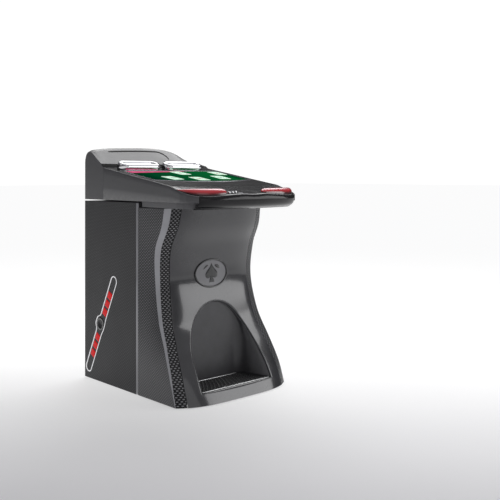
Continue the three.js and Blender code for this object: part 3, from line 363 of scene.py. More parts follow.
def makeWeave():
    # plain weave: a cell shows its level tow where floor(u) + floor(v) is even,
    # otherwise its upright tow, and each tow is a half sine across its own width
    group, given, out = newGroup(
        "weave", [("Pitch", "NodeSocketFloat", 0.004), ("U", "NodeSocketFloat", 0.0),
                  ("V", "NodeSocketFloat", 0.0)],
        [("Shade", "NodeSocketFloat"), ("Height", "NodeSocketFloat")])
    u = calc(group, "DIVIDE", given.outputs["U"], given.outputs["Pitch"])
    v = calc(group, "DIVIDE", given.outputs["V"], given.outputs["Pitch"])
    turn = calc(group, "FLOORED_MODULO", calc(group, "ADD", calc(group, "FLOOR", u), calc(group, "FLOOR", v)),
                2.0)
    over = calc(group, "LESS_THAN", turn, 0.5)
    under = calc(group, "SUBTRACT", 1.0, over)
    acrossV = calc(group, "SINE", calc(group, "MULTIPLY", calc(group, "FRACT", v), math.pi))
    acrossU = calc(group, "SINE", calc(group, "MULTIPLY", calc(group, "FRACT", u), math.pi))
    height = calc(group, "ADD", calc(group, "MULTIPLY", acrossV, over),
                  calc(group, "MULTIPLY", acrossU, under))
    shade = calc(group, "MULTIPLY", calc(group, "ADD", calc(group, "MULTIPLY", over, 0.55), 0.45), height)
    feed(group, out, {"Shade": shade, "Height": height})
    return group


grain, wear, dust, cloth = makeGrain(), makeWear(), makeDust(), makeWeave()


def useGroup(tree, group, **inputs):
    # puts a shared group into a tree and sets or links its inputs
    node = tree.nodes.new("ShaderNodeGroup")
    node.node_tree = group
    return feed(tree, node, inputs)


def mixColour(tree, mask, first, second):
    # first colour where the mask is 0 and second where it is 1
    node = tree.nodes.new("ShaderNodeMix")
    node.data_type = "RGBA"
    first, second = ((*value, 1) if isinstance(value, tuple) else value for value in (first, second))
    return feed(tree, node, {0: mask, 6: first, 7: second}).outputs[2]


# the grain's range that is used, the dust's colour and the bump's depth in metres
texture = {"low": 0.3, "high": 0.7, "dust": (0.42, 0.41, 0.39), "bumpDepth": 0.0006}


def finishOf(name, dark, light, rough, grainScale=350, bump=0.05, wearTo=None, wearAmount=0.0,
             dustAmount=0.06,
             weave=None, metal=None, specular=None, coat=None, glow=None, shader=None):
    # one surface: colour from dark to light with the grain, then rubbed edges, then dust;
    # roughness runs between two values with the grain, and the grain or weave raises the bump
    look = bpy.data.materials.new(name)
    look.use_nodes = True
    tree = look.node_tree
    surface = tree.nodes["Principled BSDF"]
    sockets = dict(shader or {})
    if metal is not None:
        sockets["Metallic"] = metal
    if specular is not None:
        sockets["Specular IOR Level"] = specular
    if coat:
        sockets["Coat Weight"], sockets["Coat Roughness"] = coat
    if glow:
        sockets["Emission Color"], sockets["Emission Strength"] = (*glow[:3], 1), glow[3]
    feed(tree, surface, sockets)
    speck = useGroup(tree, grain, Scale=grainScale)
    shade = spread(tree, speck.outputs["Shade"], texture["low"], texture["high"])
    height = speck.outputs["Height"]
    colour = mixColour(tree, shade, dark, light)
    if weave:
        where = axesOf(tree, objectPlace(tree))
        woven = useGroup(tree, cloth, Pitch=weave["pitch"], U=where[weave["across"]], V=where["Z"])
        tow = spread(tree, woven.outputs["Shade"], weave["from"], 0.95)
        colour = mixColour(tree, tow, colour, weave["tow"])
        height = woven.outputs["Height"]
    if wearTo:
        colour = mixColour(tree, useGroup(tree, wear, Amount=wearAmount).outputs["Mask"], colour, wearTo)
    if dustAmount:
        settled = useGroup(tree, dust, Amount=dustAmount).outputs["Mask"]
        colour = mixColour(tree, settled, colour, texture["dust"])
    roughness = spread(tree, speck.outputs["Shade"], texture["low"], texture["high"], *rough)
    raised = addNode(tree, "Bump", Strength=bump, Distance=texture["bumpDepth"], Height=height)
    feed(tree, surface, {"Base Color": colour, "Roughness": roughness, "Normal": raised.outputs["Normal"]})
    return look


# the side walls and the cheeks are one carbon finish given two copies as painted light: this darker copy is
# painted shade for the side walls
carbonSideShaded = finishOf(
    "carbonSideShaded", (0.003, 0.003, 0.004), (0.006, 0.006, 0.007), (0.4, 0.48), bump=0.14, dustAmount=0.015,
    weave={"pitch": 0.0058, "across": "Y", "tow": (0.062, 0.062, 0.068), "from": 0.3}, specular=0.32,
    coat=(0.06, 0.25))
# the lighter copy of the same carbon, painted light for the cheeks
carbonCheekLit = finishOf(
    "carbonCheekLit", (0.012, 0.012, 0.014), (0.018, 0.018, 0.021), (0.36, 0.44), bump=0.14, dustAmount=0.03,
    weave={"pitch": 0.0058, "across": "Y", "tow": (0.15, 0.15, 0.16), "from": 0.3}, coat=(0.25, 0.22))
carbonBand = finishOf(
    "carbonBand", (0.001, 0.001, 0.002), (0.003, 0.003, 0.004), (0.34, 0.44), bump=0.25, dustAmount=0.01,
    weave={"pitch": 0.0075, "across": "X", "tow": (0.24, 0.24, 0.25), "from": 0.6}, specular=0.25,
    coat=(0.12, 0.12))
# painted highlight: pale grey standing for the light caught by the seam bevel and the cheeks' chamfer strips
bevelHighlight = finishOf(
    "bevelHighlight", (0.36, 0.362, 0.385), (0.43, 0.432, 0.455), (0.32, 0.42), grainScale=600,
    wearTo=(0.4, 0.4, 0.4), wearAmount=0.3, metal=0.25)
consoleTone = {
    "dark": (0.045, 0.045, 0.05), "light": (0.056, 0.056, 0.062), "rough": (0.34, 0.45), "grainScale": 700,
    "bump": 0.06, "coat": (0.3, 0.2),
}
consolePaint = finishOf("consolePaint", wearTo=(0.3, 0.3, 0.3), wearAmount=0.5, **consoleTone)
consoleFlat = finishOf("consoleFlat", **consoleTone)
panelPaint = finishOf(
    "panelPaint", (0.03, 0.03, 0.033), (0.038, 0.038, 0.042), (0.38, 0.48), grainScale=900, bump=0.1,
    dustAmount=0.03, coat=(0.2, 0.25))
lipPaint = finishOf(
    "lipPaint", (0.1, 0.1, 0.107), (0.12, 0.12, 0.128), (0.32, 0.42), grainScale=700, bump=0.05,
    dustAmount=0.03)
humpPaint = finishOf(
    "humpPaint", (0.054, 0.054, 0.058), (0.066, 0.066, 0.07), (0.34, 0.44), grainScale=700, bump=0.06,
    wearTo=(0.4, 0.4, 0.4), wearAmount=0.4, coat=(0.25, 0.2))
gunmetal = finishOf(
    "gunmetal", (0.026, 0.026, 0.029), (0.034, 0.034, 0.038), (0.17, 0.23), grainScale=500, bump=0.03,
    wearTo=(0.3, 0.3, 0.3), wearAmount=0.3, metal=0.2, coat=(0.6, 0.08))
nicheBlack = finishOf(
    "nicheBlack", (0.03, 0.03, 0.033), (0.05, 0.05, 0.055), (0.38, 0.5), grainScale=900, bump=0.12,
    coat=(0.2, 0.2))
blackPlastic = finishOf("blackPlastic", (0.012, 0.012, 0.013), (0.022, 0.022, 0.024), (0.4, 0.55), bump=0.15)
# painted shade: matt black standing for the shade inside the groove on the hump's face
slotBlack = finishOf(
    "slotBlack", (0.002, 0.002, 0.002), (0.005, 0.005, 0.005), (0.6, 0.8), bump=0.05, dustAmount=0.0,
    specular=0.15)
noseBlack = finishOf(
    "noseBlack", (0.004, 0.004, 0.005), (0.008, 0.008, 0.009), (0.16, 0.24), grainScale=500, bump=0.01,
    dustAmount=0.01, specular=0.2, coat=(0.18, 0.06))
glossBlack = finishOf(
    "glossBlack", (0.006, 0.007, 0.008), (0.012, 0.013, 0.014), (0.12, 0.2), grainScale=500, bump=0.01,
    dustAmount=0.03, coat=(0.6, 0.08))
steel = finishOf(
    "steel", (0.36, 0.365, 0.37), (0.5, 0.505, 0.51), (0.3, 0.42), grainScale=180, bump=0.08, metal=1.0)
chromed = finishOf(
    "chromed", (0.56, 0.56, 0.58), (0.68, 0.68, 0.7), (0.05, 0.11), grainScale=120, bump=0.01,
    dustAmount=0.02, metal=1.0)
deckBlack = finishOf(
    "deckBlack", (0.003, 0.003, 0.004), (0.007, 0.007, 0.008), (0.32, 0.42), grainScale=500, bump=0.01,
    dustAmount=0.0, specular=0.03)
silver = finishOf(
    "silver", (0.26, 0.26, 0.28), (0.36, 0.36, 0.38), (0.22, 0.3), grainScale=300, bump=0.03, metal=0.8)
# the rim's white is its own colour; its glow is painted light standing for the light it catches
whiteRimPaintedGlow = finishOf(
    "whiteRimPaintedGlow", (0.8, 0.8, 0.81), (0.88, 0.88, 0.89), (0.25, 0.35), bump=0.02, glow=(0.9, 0.9, 0.92, 0.3))
rubberBlack = finishOf(
    "rubberBlack", (0.014, 0.014, 0.014), (0.03, 0.03, 0.03), (0.7, 0.9), grainScale=900, bump=0.3)
redGlow = finishOf(
    "redGlow", (0.42, 0.004, 0.007), (0.5, 0.006, 0.01), (0.3, 0.4), grainScale=200, bump=0.02,
    dustAmount=0.0, specular=0.15, glow=(0.9, 0.008, 0.008, 0.3))
screenCard = finishOf(
    "screenCard", (0.5, 0.72, 0.56), (0.7, 0.86, 0.74), (0.55, 0.65), grainScale=60, bump=0.0, dustAmount=0.0,
    specular=0.0, glow=(0.6, 0.85, 0.7, 0.4))
pipRed = finishOf(
    "pipRed", (0.5, 0.02, 0.03), (0.6, 0.03, 0.04), (0.55, 0.65), bump=0.0, dustAmount=0.0, specular=0.0)
pipBlack = finishOf(
    "pipBlack", (0.02, 0.03, 0.025), (0.03, 0.04, 0.035), (0.55, 0.65), bump=0.0, dustAmount=0.0,
    specular=0.0)


def makeArmrestLook():
    # red translucent moulding with painted light by the height of its normal: painted shade, near black, on
    # its flanks, its red between, and a painted pale pink highlight on its crown
    look = finishOf(
        "armrestRed", (0.42, 0.012, 0.02), (0.5, 0.02, 0.03), (0.16, 0.24), grainScale=150, bump=0.01,
        dustAmount=0.0, coat=(0.7, 0.1),
        shader={"Subsurface Weight": 0.15, "Subsurface Radius": (0.02, 0.004, 0.004)})
    tree = look.node_tree
    surface = tree.nodes["Principled BSDF"]
    colour = surface.inputs["Base Color"].links[0].from_socket
    up = axesOf(tree, addNode(tree, "NewGeometry").outputs["Normal"])["Z"]
    # painted shade and highlight by facing: where the normal turns sideways or down, colour and glow go near
    # black, and on the crown both go pale pink
    awayFromPaintedShade, crown = spread(tree, up, 0.05, 0.5), spread(tree, up, 0.6, 1.0)
    body = mixColour(tree, awayFromPaintedShade, (0.02, 0.0, 0.002), colour)
    glow = mixColour(tree, awayFromPaintedShade, (0.0, 0.0, 0.0), (0.25, 0.003, 0.008))
    feed(tree, surface, {"Base Color": mixColour(tree, crown, body, (0.62, 0.26, 0.3)),
                         "Emission Color": mixColour(tree, crown, glow, (0.3, 0.08, 0.1)),
                         "Emission Strength": 0.25})
    return look


def makeFeltLook():
    # lit screen picture: a green field that brightens from its left to its right rear, with a soft mottling
    look = finishOf(
        "screenFelt", (0.0, 0.022, 0.01), (0.0, 0.034, 0.014), (0.55, 0.65), grainScale=40, bump=0.0,
        dustAmount=0.0, specular=0.0, shader={"Emission Strength": 0.45})
    tree = look.node_tree
    surface = tree.nodes["Principled BSDF"]
    colour = surface.inputs["Base Color"].links[0].from_socket
    x = axesOf(tree, objectPlace(tree))["X"]
    run = spread(tree, x, -0.26, 0.16)
    lit = mixColour(tree, run, colour, (0.002, 0.085, 0.02))
    edge = spread(tree, calc(tree, "ABSOLUTE", x), 0.17, 0.26)
    lit = mixColour(tree, edge, lit, (0.0, 0.018, 0.007))
    feed(tree, surface, {"Base Color": lit, "Emission Color": lit})
    return look


armrestRed, screenFelt = makeArmrestLook(), makeFeltLook()
emblemPlate = finishOf(
    "emblemPlate", (0.15, 0.15, 0.158), (0.19, 0.19, 0.2), (0.3, 0.38), grainScale=600, bump=0.06,
    dustAmount=0.03, metal=0.4)
bannerPink = finishOf(
    "bannerPink", (0.36, 0.01, 0.08), (0.6, 0.2, 0.3), (0.55, 0.65), grainScale=1500, bump=0.0,
    dustAmount=0.0, specular=0.0, glow=(0.5, 0.02, 0.12, 0.45))
print("materials made")

studio = {
    "key": 70, "fill": 5, "panel": 22, "air": 0.08, "overhead": 0.42, "ahead": 0.16, "fadeFrom": -1.3,
    "fadeTo": 0.5,
}


def makeFloor():
    # pale matt floor that fades into the white backdrop away from the camera's side
    look = bpy.data.materials.new("studioFloor")
    look.use_nodes = True
    tree = look.node_tree
    surface = tree.nodes["Principled BSDF"]
    where = objectPlace(tree)
    axes = axesOf(tree, where)
    acrossView, alongView = calc(tree, "MULTIPLY", axes["X"], 0.678), calc(tree, "MULTIPLY", axes["Y"], 0.735)
    depth = calc(tree, "ADD", acrossView, alongView)
    far = tree.nodes.new("ShaderNodeVectorMath")
    far.operation = "LENGTH"
    tree.links.new(where, far.inputs[0])
    fade = calc(tree, "MAXIMUM", spread(tree, depth, studio["fadeFrom"], studio["fadeTo"]),
                spread(tree, far.outputs["Value"], 2.0, 5.0))
    plain = mixColour(tree, noiseOn(tree, where, 3.0), (0.74, 0.735, 0.75), (0.77, 0.765, 0.78))
    feed(tree, surface, {
        "Base Color": mixColour(tree, fade, plain, (0.3, 0.3, 0.3)), "Roughness": 0.6,
        "Specular IOR Level": 0.2,
        "Emission Color": mixColour(tree, fade, (0.0, 0.0, 0.0), (0.85, 0.85, 0.85)),
        "Emission Strength": 1.0,
    })
    line = np.linspace(-60, 60, 3) * 1000
    points, faces, numbers = grid(stack(line[:, None], line[None, :], 0.0))
    mesh = bpy.data.meshes.new("studio_floor")
    mesh.from_pydata((points / 1000).tolist(), [], [face[::-1] for face in faces])
    mesh.materials.append(look)
    floor = bpy.data.objects.new("studio_floor", mesh)
    bpy.context.scene.collection.objects.link(floor)
    floor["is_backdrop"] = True


def makeAir():
    # white behind the object; the light it gives is strongest overhead and ahead of the object
    world = bpy.data.worlds.new("studioAir")
    bpy.context.scene.world = world
    world.use_nodes = True
    tree = world.node_tree
    parts = axesOf(tree, addNode(tree, "TexCoord").outputs["Generated"])
    overhead = spread(tree, parts["Z"], 0.3, 0.9, 0.0, studio["overhead"])
    ahead = spread(tree, parts["Y"], -0.1, -0.8, 0.0, studio["ahead"])
    total = calc(tree, "ADD", calc(tree, "ADD", overhead, ahead), studio["air"])
    lit = feed(tree, tree.nodes["Background"], {"Color": (0.97, 0.97, 1.0, 1), "Strength": total})
    white = addNode(tree, "Background", Color=(1, 1, 1, 1), Strength=1.05)
    isCamera = addNode(tree, "LightPath").outputs["Is Camera Ray"]
    chosen = feed(tree, tree.nodes.new("ShaderNodeMixShader"),
                  {0: isCamera, 1: lit.outputs[0], 2: white.outputs[0]})
    feed(tree, tree.nodes["World Output"], {"Surface": chosen.outputs[0]})


makeFloor()
makeAir()


def addLight(name, place, target, size, power):
    # rectangular lamp at a place, turned to face a target
    data = bpy.data.lights.new(name, "AREA")
    data.shape = "RECTANGLE"
    data.size, data.size_y = size
    data.energy = power
    lamp = bpy.data.objects.new(name, data)
    lamp.location = place
    aim = np.array(target, float) - np.array(place, float)
    flat = math.hypot(aim[0], aim[1])
    lamp.rotation_euler = (math.atan2(flat, -aim[2]), 0, math.atan2(-aim[0], aim[1]))
    bpy.context.scene.collection.objects.link(lamp)


addLight("key", (1.6, 1.2, 3.2), (0, 0, 0.5), (3.0, 2.2), studio["key"])
addLight("front_fill", (-0.6, -3.4, 1.9), (0, 0, 0.45), (2.0, 1.4), studio["fill"])
addLight("panel_softbox", (1.9, -2.2, 1.25), (0, -0.1, 0.42), (2.2, 1.0), studio["panel"])
addLight("side_fill", (-3.4, 0.6, 2.2), (0, 0, 0.5), (1.6, 1.6), studio["fill"] * 0.8)
bpy.context.scene.view_settings.view_transform = "Standard"

front = {
    "inset": [[0, 0], [0.09, 3], [0.2, 13], [0.33, 28], [0.47, 39], [0.61, 45], [0.79, 41], [1, 50]],
    "reach": [[0, 244], [0.12, 216], [0.26, 168], [0.4, 117], [0.6, 87], [0.78, 98], [0.9, 138], [1, 153]],
    "bow": [[0, 57], [0.12, 38], [0.27, 19], [0.47, 27], [0.63, 20], [1, 28]],
    "band": 37, "cutLow": 3, "cutGrow": 17, "wall": 9, "proud": 2, "seamGap": 3, "levels": 96,
}
insetAt, reachAt, bowAt = (smoothCurve(front[k]) for k in ("inset", "reach", "bow"))


def shareAt(z):
    # height on the front module as a share of its full height
    return (np.asarray(z, float) - bodyBottom) / (frontTop - bodyBottom)


def cornerX(z):
    # distance of the face's corner from the middle plane
    return half - insetAt(shareAt(z))


def faceY(x, z):
    # the face stands ahead of the seam by the corner's reach, plus a bow that dies to the fourth power
    across = np.minimum(np.abs(x) / cornerX(z), 1)
    return seamY - reachAt(shareAt(z)) - bowAt(shareAt(z)) * (1 - across ** 4)


def makeCheek():
    # one section at each level: side wall, chamfer strip, bowed band, and the same line moved inwards
    z = np.linspace(bodyBottom, frontTop, front["levels"])[:, None]
    back = seamY - front["seamGap"]
    x, cut, wall = cornerX(z), front["cutLow"] + front["cutGrow"] * shareAt(z), front["wall"]
    y = faceY(x, z)
    outerX = np.minimum(x + cut, half)
    band = x - np.linspace(0, front["band"], 7)[None, 1:]
    side = np.linspace(0, 1, 8)[None, :]
    sideX, sideY = half + (outerX - half) * side, back + (y + cut - back) * side
    inner = band[:, ::-1]
    xs = np.concatenate([sideX, x, band, inner, x - wall * 0.6, outerX - wall, half - wall + 0 * z], axis=1)
    ys = np.concatenate([sideY, y, faceY(band, z), faceY(inner, z) + wall, y + wall, y + cut + wall * 0.4,
                         back + 0 * z], axis=1)
    # the chamfer strip takes the third look, the pale painted highlight
    looks = np.array([0] * 7 + [2] + [1] * 6 + [3] * (xs.shape[1] - 14))[None, :]
    return grid(stack(xs, ys, z), closeAcross=True, caps="se", look=looks)


trim = {"bevel": 12}


def makeSeamHighlight():
    # pale strip lying on the bevel where the rear module meets the front one: a painted highlight for the
    # light the bevel catches
    z = np.array([bodyBottom + 1, cabinet["consoleBottom"] - 7])[:, None]
    t = np.array([0.09, 0.14, 0.9, 0.96])[None, :]
    lift = np.array([0.1, 0.4, 0.4, 0.1])[None, :]
    x = half - trim["bevel"] / 2 * t + lift * 0.89
    y = seamY + trim["bevel"] * (1 - t) - lift * 0.45
    return grid(stack(x + 0 * z, y + 0 * z, z))


makePair(
    "{}_seam_highlight", makeSeamHighlight(), [bevelHighlight], "cabinet", "grey_moulding", towards=(1, -0.6, 0), wall=0.25)
makePair(
    "{}_cheek_shell", makeCheek(), [carbonCheekLit, carbonBand, bevelHighlight, blackPlastic], "cabinet",
    "carbon_body", "{}_front_cheek", bevel=1.2, crease=16)

arch = {"half": 178, "base": 46, "apex": 352, "power": 2.2, "lip": 7, "centre": 150, "rays": 260, "rings": 56}


def archHalf(z):
    # half the arch's width: the root of one minus the height share to a power
    t = np.clip((np.asarray(z, float) - arch["base"]) / (arch["apex"] - arch["base"]), 0, 1)
    return np.maximum(arch["half"] * np.sqrt(1 - t ** arch["power"]), 0.5)


def closedOutline(rightX, rightZ):
    # mirrors the right half of an outline and returns it as angle and distance from the arch's centre
    x = np.concatenate([rightX, -rightX[::-1]])
    z = np.concatenate([rightZ, rightZ[::-1]]) - arch["centre"]
    angle = np.unwrap(np.arctan2(z, x))
    return angle, np.hypot(x, z)


def makeKneePanel():
    # rays run from the arch's edge to the panel's own edge; a rolled lip turns back into the opening
    sideX = lambda z: cornerX(z) - front["band"] - 0.4
    t = np.linspace(0, 1, 200)
    archZ = arch["base"] + (arch["apex"] - arch["base"]) * np.sin(t * math.pi / 2)
    innerX = np.concatenate([np.linspace(0, arch["half"], 60)[:-1], archHalf(archZ)])
    innerZ = np.concatenate([np.full(59, arch["base"]), archZ])
    outZ = np.linspace(bodyBottom, frontTop, 300)
    outerXs = np.concatenate([np.linspace(0, sideX(bodyBottom), 60)[:-1], sideX(outZ),
                              np.linspace(sideX(frontTop), 0, 60)[1:]])
    outerZs = np.concatenate([np.full(59, bodyBottom), outZ, np.full(59, frontTop)])
    innerAngle, innerFar = closedOutline(innerX, innerZ)
    outerAngle, outerFar = closedOutline(outerXs, outerZs)
    corner = lambda x, z: math.atan2(z - arch["centre"], x)
    marks = [corner(s * arch["half"], arch["base"]) for s in (1, -1)]
    marks += [corner(s * sideX(z), z) for s in (1, -1) for z in (bodyBottom, frontTop)]
    full = 2 * math.pi
    angles = np.unique(np.round(np.concatenate([np.linspace(0, full, arch["rays"], endpoint=False),
                                                np.mod(marks, full)]), 7))
    near = np.interp(angles, innerAngle, innerFar, period=full)[None, :]
    far = np.interp(angles, outerAngle, outerFar, period=full)[None, :]
    bend = np.linspace(0, 1, 7)[:, None]
    lip = np.minimum(arch["lip"], (far - near) * 0.4)
    rolled = near + lip * (1 - np.cos(bend * math.pi / 2))
    beyond = np.linspace(0, 1, arch["rings"])[1:, None]
    radius = np.concatenate([rolled, near + lip + (far - near - lip) * beyond])
    back = np.concatenate([lip * (1 - np.sin(bend * math.pi / 2)), 0 * beyond * lip])
    x, z = radius * np.cos(angles), arch["centre"] + radius * np.sin(angles)
    return grid(stack(x, faceY(x, z) - front["proud"] + back, z), closeAcross=True)


makePiece(
    "knee_moulding", [makeKneePanel()], [gunmetal], "cabinet", "gunmetal_gloss", ["knee_panel"],
    towards=(0, -1, 0), wall=5.5, bevel=1.0, crease=45)

niche = {"backHalf": 136, "setback": 119, "corner": 34, "wall": 2.5, "levels": 60}


def makeNiche():
    # each level runs from the arch's left edge to the back wall and out to the right edge,
    # round at the corners
    t = np.linspace(0, 1, niche["levels"])
    z = arch["base"] - 4 + (arch["apex"] - arch["base"] + 3) * np.sin(t * math.pi / 2)
    halfX = archHalf(z)
    backX = np.minimum(halfX, niche["backHalf"])
    mouth = faceY(halfX, np.maximum(z, arch["base"])) + 4.4
    back = seamY - niche["setback"]
    corners = np.stack([
        stack(-halfX, mouth, z), stack(-backX, back + 0 * z, z), stack(backX, back + 0 * z, z),
        stack(halfX, mouth, z)], axis=1)
    return grid(roundedPath(corners, [niche["corner"], niche["corner"]], 9))


makePiece(
    "niche_shell", [makeNiche()], [nicheBlack], "cabinet", "black_plastic", ["niche_liner"],
    towards=(0, -1, 0), wall=-niche["wall"], crease=60)
print("front module made")

grille = {"rows": 8, "columns": 17, "dot": 5.2, "rise": 2.4, "rim": 7, "border": 17, "edge": 15, "stagger": 9}


def makeGrille():
    # tapered plate between its front and back line, with a bar on both and domes in staggered rows
    lowBox, highBox = boxOf("foot_grille")
    frontY, backY, top = lowBox[1], highBox[1], highBox[2]
    frontHalf = highBox[0]
    backHalf = niche["backHalf"] - 1
    halfAt = lambda y: frontHalf + (backHalf - frontHalf) * (y - frontY) / (backY - frontY)
    y = np.array([frontY, backY])[:, None]
    plateX = np.array([-1, 1])[None, :] * halfAt(y)
    parts = [grid(np.concatenate([stack(plateX, y, top - 4), stack(plateX, y, top - 1.5)[::-1]]),
                  closeAlong=True)]
    for barY, width in ((frontY + grille["rim"] / 2, grille["rim"]),
                        (backY - grille["rim"] / 2, grille["rim"] * 0.7)):
        # bar with a half-round top: its section is swept from side to side
        turn = np.linspace(0, math.pi, 9)
        section = np.c_[barY - np.cos(turn) * width / 2, top - 2.6 + np.sin(turn) * 3.6]
        ends = np.array([-1, 1])[:, None] * (halfAt(barY) - 1)
        parts.append(grid(stack(ends, section[None, :, 0], section[None, :, 1]), closeAcross=True, caps="se",
                          look=1))
    # dots: one low dome repeated over staggered rows
    turn = circle(10)
    lift = np.array([0, 0.55, 0.85, 1.0])
    wide = np.array([1, 0.86, 0.5, 0.02])
    dome = stack(wide[:, None] * np.cos(turn) * grille["dot"], wide[:, None] * np.sin(turn) * grille["dot"],
                 lift[:, None] * grille["rise"] + 0 * turn)
    border = grille["border"]
    for row in range(grille["rows"]):
        rowY = frontY + border + (backY - frontY - 2 * border + 4) * row / (grille["rows"] - 1)
        reachX = halfAt(rowY) - grille["edge"]
        count, inwards = grille["columns"] - row % 2, grille["stagger"] * (row % 2)
        for x in np.linspace(-reachX + inwards, reachX - inwards, count):
            parts.append(grid(dome + (x, rowY, top - 1.6), closeAcross=True, look=2))
    return parts


makePiece(
    "foot_grille_plate", makeGrille(), [blackPlastic, steel, glossBlack], "cabinet", "black_plastic",
    ["foot_grille"], crease=45)

emblem = {"height": 466, "halfWide": 86, "squash": 0.68, "ring": 3.2, "spade": 0.98}


def polarOutline(x, z, count=160):
    # distance to a closed outline in evenly spaced directions from its middle
    angle, far = np.arctan2(z, x), np.hypot(x, z)
    order = np.argsort(np.mod(angle, 2 * math.pi))
    around = circle(count)
    return around, np.interp(around, np.mod(angle, 2 * math.pi)[order], far[order], period=2 * math.pi)


def onKnee(x, z, lift):
    # points that lie ahead of the knee panel by the lift
    return stack(x, faceY(x, z) - front["proud"] - lift, z)


def makeEmblem():
    # ring, shallow disc, spade and two leaves, each grid laid on the knee panel by onKnee
    turn = circle(120)
    wide, tall = emblem["halfWide"], emblem["halfWide"] * emblem["squash"]
    # ring: a circle swept round the oval, lying on the knee panel
    small = circle(12)[:, None]
    grow = emblem["ring"] * np.cos(small)
    ring = onKnee((wide - 4 + grow) * np.cos(turn), emblem["height"] + (tall - 4 + grow) * np.sin(turn),
                  0.4 + emblem["ring"] * 0.7 * (1 + np.sin(small)))
    # disc: a shallow dome inside the ring, its lift falling with the square of the distance
    out = np.linspace(0.001, 1, 16)[:, None]
    disc = onKnee(out * (wide - 5) * np.cos(turn), emblem["height"] + out * (tall - 5) * np.sin(turn),
                  0.8 + 2.2 * (1 - out ** 2))
    # spade: two lobes and a point with a flared stem, domed towards its middle
    t = np.linspace(0, 1, 40)
    u = 1 - t
    bez = lambda a, b, c, d: u ** 3 * a + 3 * t * u ** 2 * b + 3 * t ** 2 * u * c + t ** 3 * d
    px = np.concatenate([bez(0, 6, 37, 33), bez(33, 30, 9, 3), np.linspace(3, 14, 20),
                         np.linspace(14, 0, 20)])
    pz = np.concatenate([bez(42, 22, 9, -10), bez(-10, -26, -24, -11), np.linspace(-11, -38, 20),
                         np.full(20, -38)])
    around, far = polarOutline(np.concatenate([px, -px[::-1]]), np.concatenate([pz, pz[::-1]]) + 4, 200)
    far = far * emblem["spade"]
    spade = onKnee(out * far * np.cos(around), emblem["height"] - 4 + out * far * np.sin(around),
                   2.0 + 3.2 * np.sqrt(np.maximum(1 - out ** 3, 0)))
    # two small leaves beside the point, each a swept teardrop
    leaves = []
    for side in (-1, 1):
        s = np.linspace(0, 1, 18)[None, :]
        around2 = circle(10)[:, None]
        thick = 5.5 * np.sin(s * math.pi) ** 0.7 + 0.05
        leafX = side * (16 + 26 * s) + thick * np.cos(around2) * 0.5
        leafZ = emblem["height"] + 30 - 13 * s ** 2 + thick * np.cos(around2)
        leaves.append(grid(onKnee(leafX, leafZ, 3.0 + thick * 0.5 * np.sin(around2)), closeAlong=True))
    return [grid(ring, closeAcross=True, closeAlong=True), grid(disc, closeAcross=True, look=1),
            grid(spade, closeAcross=True)] + leaves


makePiece(
    "spade_emblem", makeEmblem(), [glossBlack, emblemPlate], "cabinet", "gunmetal_gloss", ["emblem_badge"],
    crease=60)
print("grille and emblem made")

console = {
    "outline": [[0, 0], [0.22, 1.5], [0.46, 7], [0.66, 15], [0.8, 26], [0.88, 38], [0.94, 54], [0.98, 76],
                [1, 105]],
    "rim": [[0, 33], [0.2, 31], [0.46, 27], [0.72, 22], [0.9, 25], [0.97, 31], [1, 38]],
    "breakRise": 62, "breakSetback": 169, "slope": math.radians(8.9), "sag": 4, "sagHalf": 62, "wall": 6,
    "noseHalf": 247,
    "humpDepth": 144,
}
setbackAt, rimAt = smoothCurve(console["outline"]), smoothCurve(console["rim"])
breakY = noseTip + console["breakSetback"]
breakZ = consoleBottom + console["breakRise"]
humpFrontY = rearY - console["humpDepth"]


def noseFront(x, inset=0.0):
    # the nose's front line seen from above, moved in by the inset
    return noseTip + inset + setbackAt(np.minimum(np.abs(x) / (half - inset), 1))


def topZ(x, y):
    # flat slope behind the deck's break; ahead of it a straight fall to the rim, dipping in the middle
    fall = np.clip((breakY - y) / (breakY - noseFront(x)), 0, 1)
    middle = np.maximum(0, 1 - (np.asarray(x) / console["sagHalf"]) ** 2) ** 2
    ahead = breakZ + (rimAt(np.minimum(np.abs(x) / half, 1)) - console["breakRise"]) * fall
    ahead = ahead - console["sag"] * middle * fall
    return np.where(y > breakY, breakZ + (y - breakY) * math.tan(console["slope"]), ahead)


def makeConsoleWall():
    # plan line down the straight side and round the front corner; the wall's section has a rounded top edge
    straight = np.linspace(humpFrontY - 0.4, noseTip + 105, 60)[:-1]
    turn = 1 - (1 - console["noseHalf"] / half) * np.linspace(0, 1, 60) ** 1.6
    x = np.concatenate([np.full(59, half), turn * half])
    y = np.concatenate([straight, noseTip + setbackAt(turn)])
    along = np.stack([np.gradient(x), np.gradient(y)], axis=1)
    along /= np.linalg.norm(along, axis=1, keepdims=True)
    inward = np.stack([along[:, 1], -along[:, 0]], axis=1)
    bend = np.linspace(0, math.pi / 2, 6)
    r = 3.5
    depth = np.concatenate([[1.5, 0, 0, 0], r * (1 - np.cos(bend)), [console["wall"]], [console["wall"]]])
    drop = np.concatenate([[-1, -1, -1, -1], r * (1 - np.sin(bend)), [0.3], [-1]])
    level = np.array([0, 1.5, 0.4, 0.8] + [-1] * 8)
    px = x[:, None] + inward[:, :1] * depth
    py = y[:, None] + inward[:, 1:] * depth
    top = topZ(px, py)
    z = np.where(drop >= 0, top - drop, consoleBottom)
    z = np.where(level > 1, consoleBottom + 1.5, z)
    z = np.where((level > 0) & (level < 1), consoleBottom + (top - r - consoleBottom) * level, z)
    return grid(stack(px, py, z), closeAcross=True, caps="se")


makePair(
    "console_{}_side", makeConsoleWall(), [consolePaint], "console", "carbon_body", "console_{}_wall",
    bevel=1.2, crease=50)

nose = {"rimSetback": 16, "skin": 3.5, "stations": 150, "buttonHole": 5.4, "lockRadius": 8, "lockHole": 8.4}


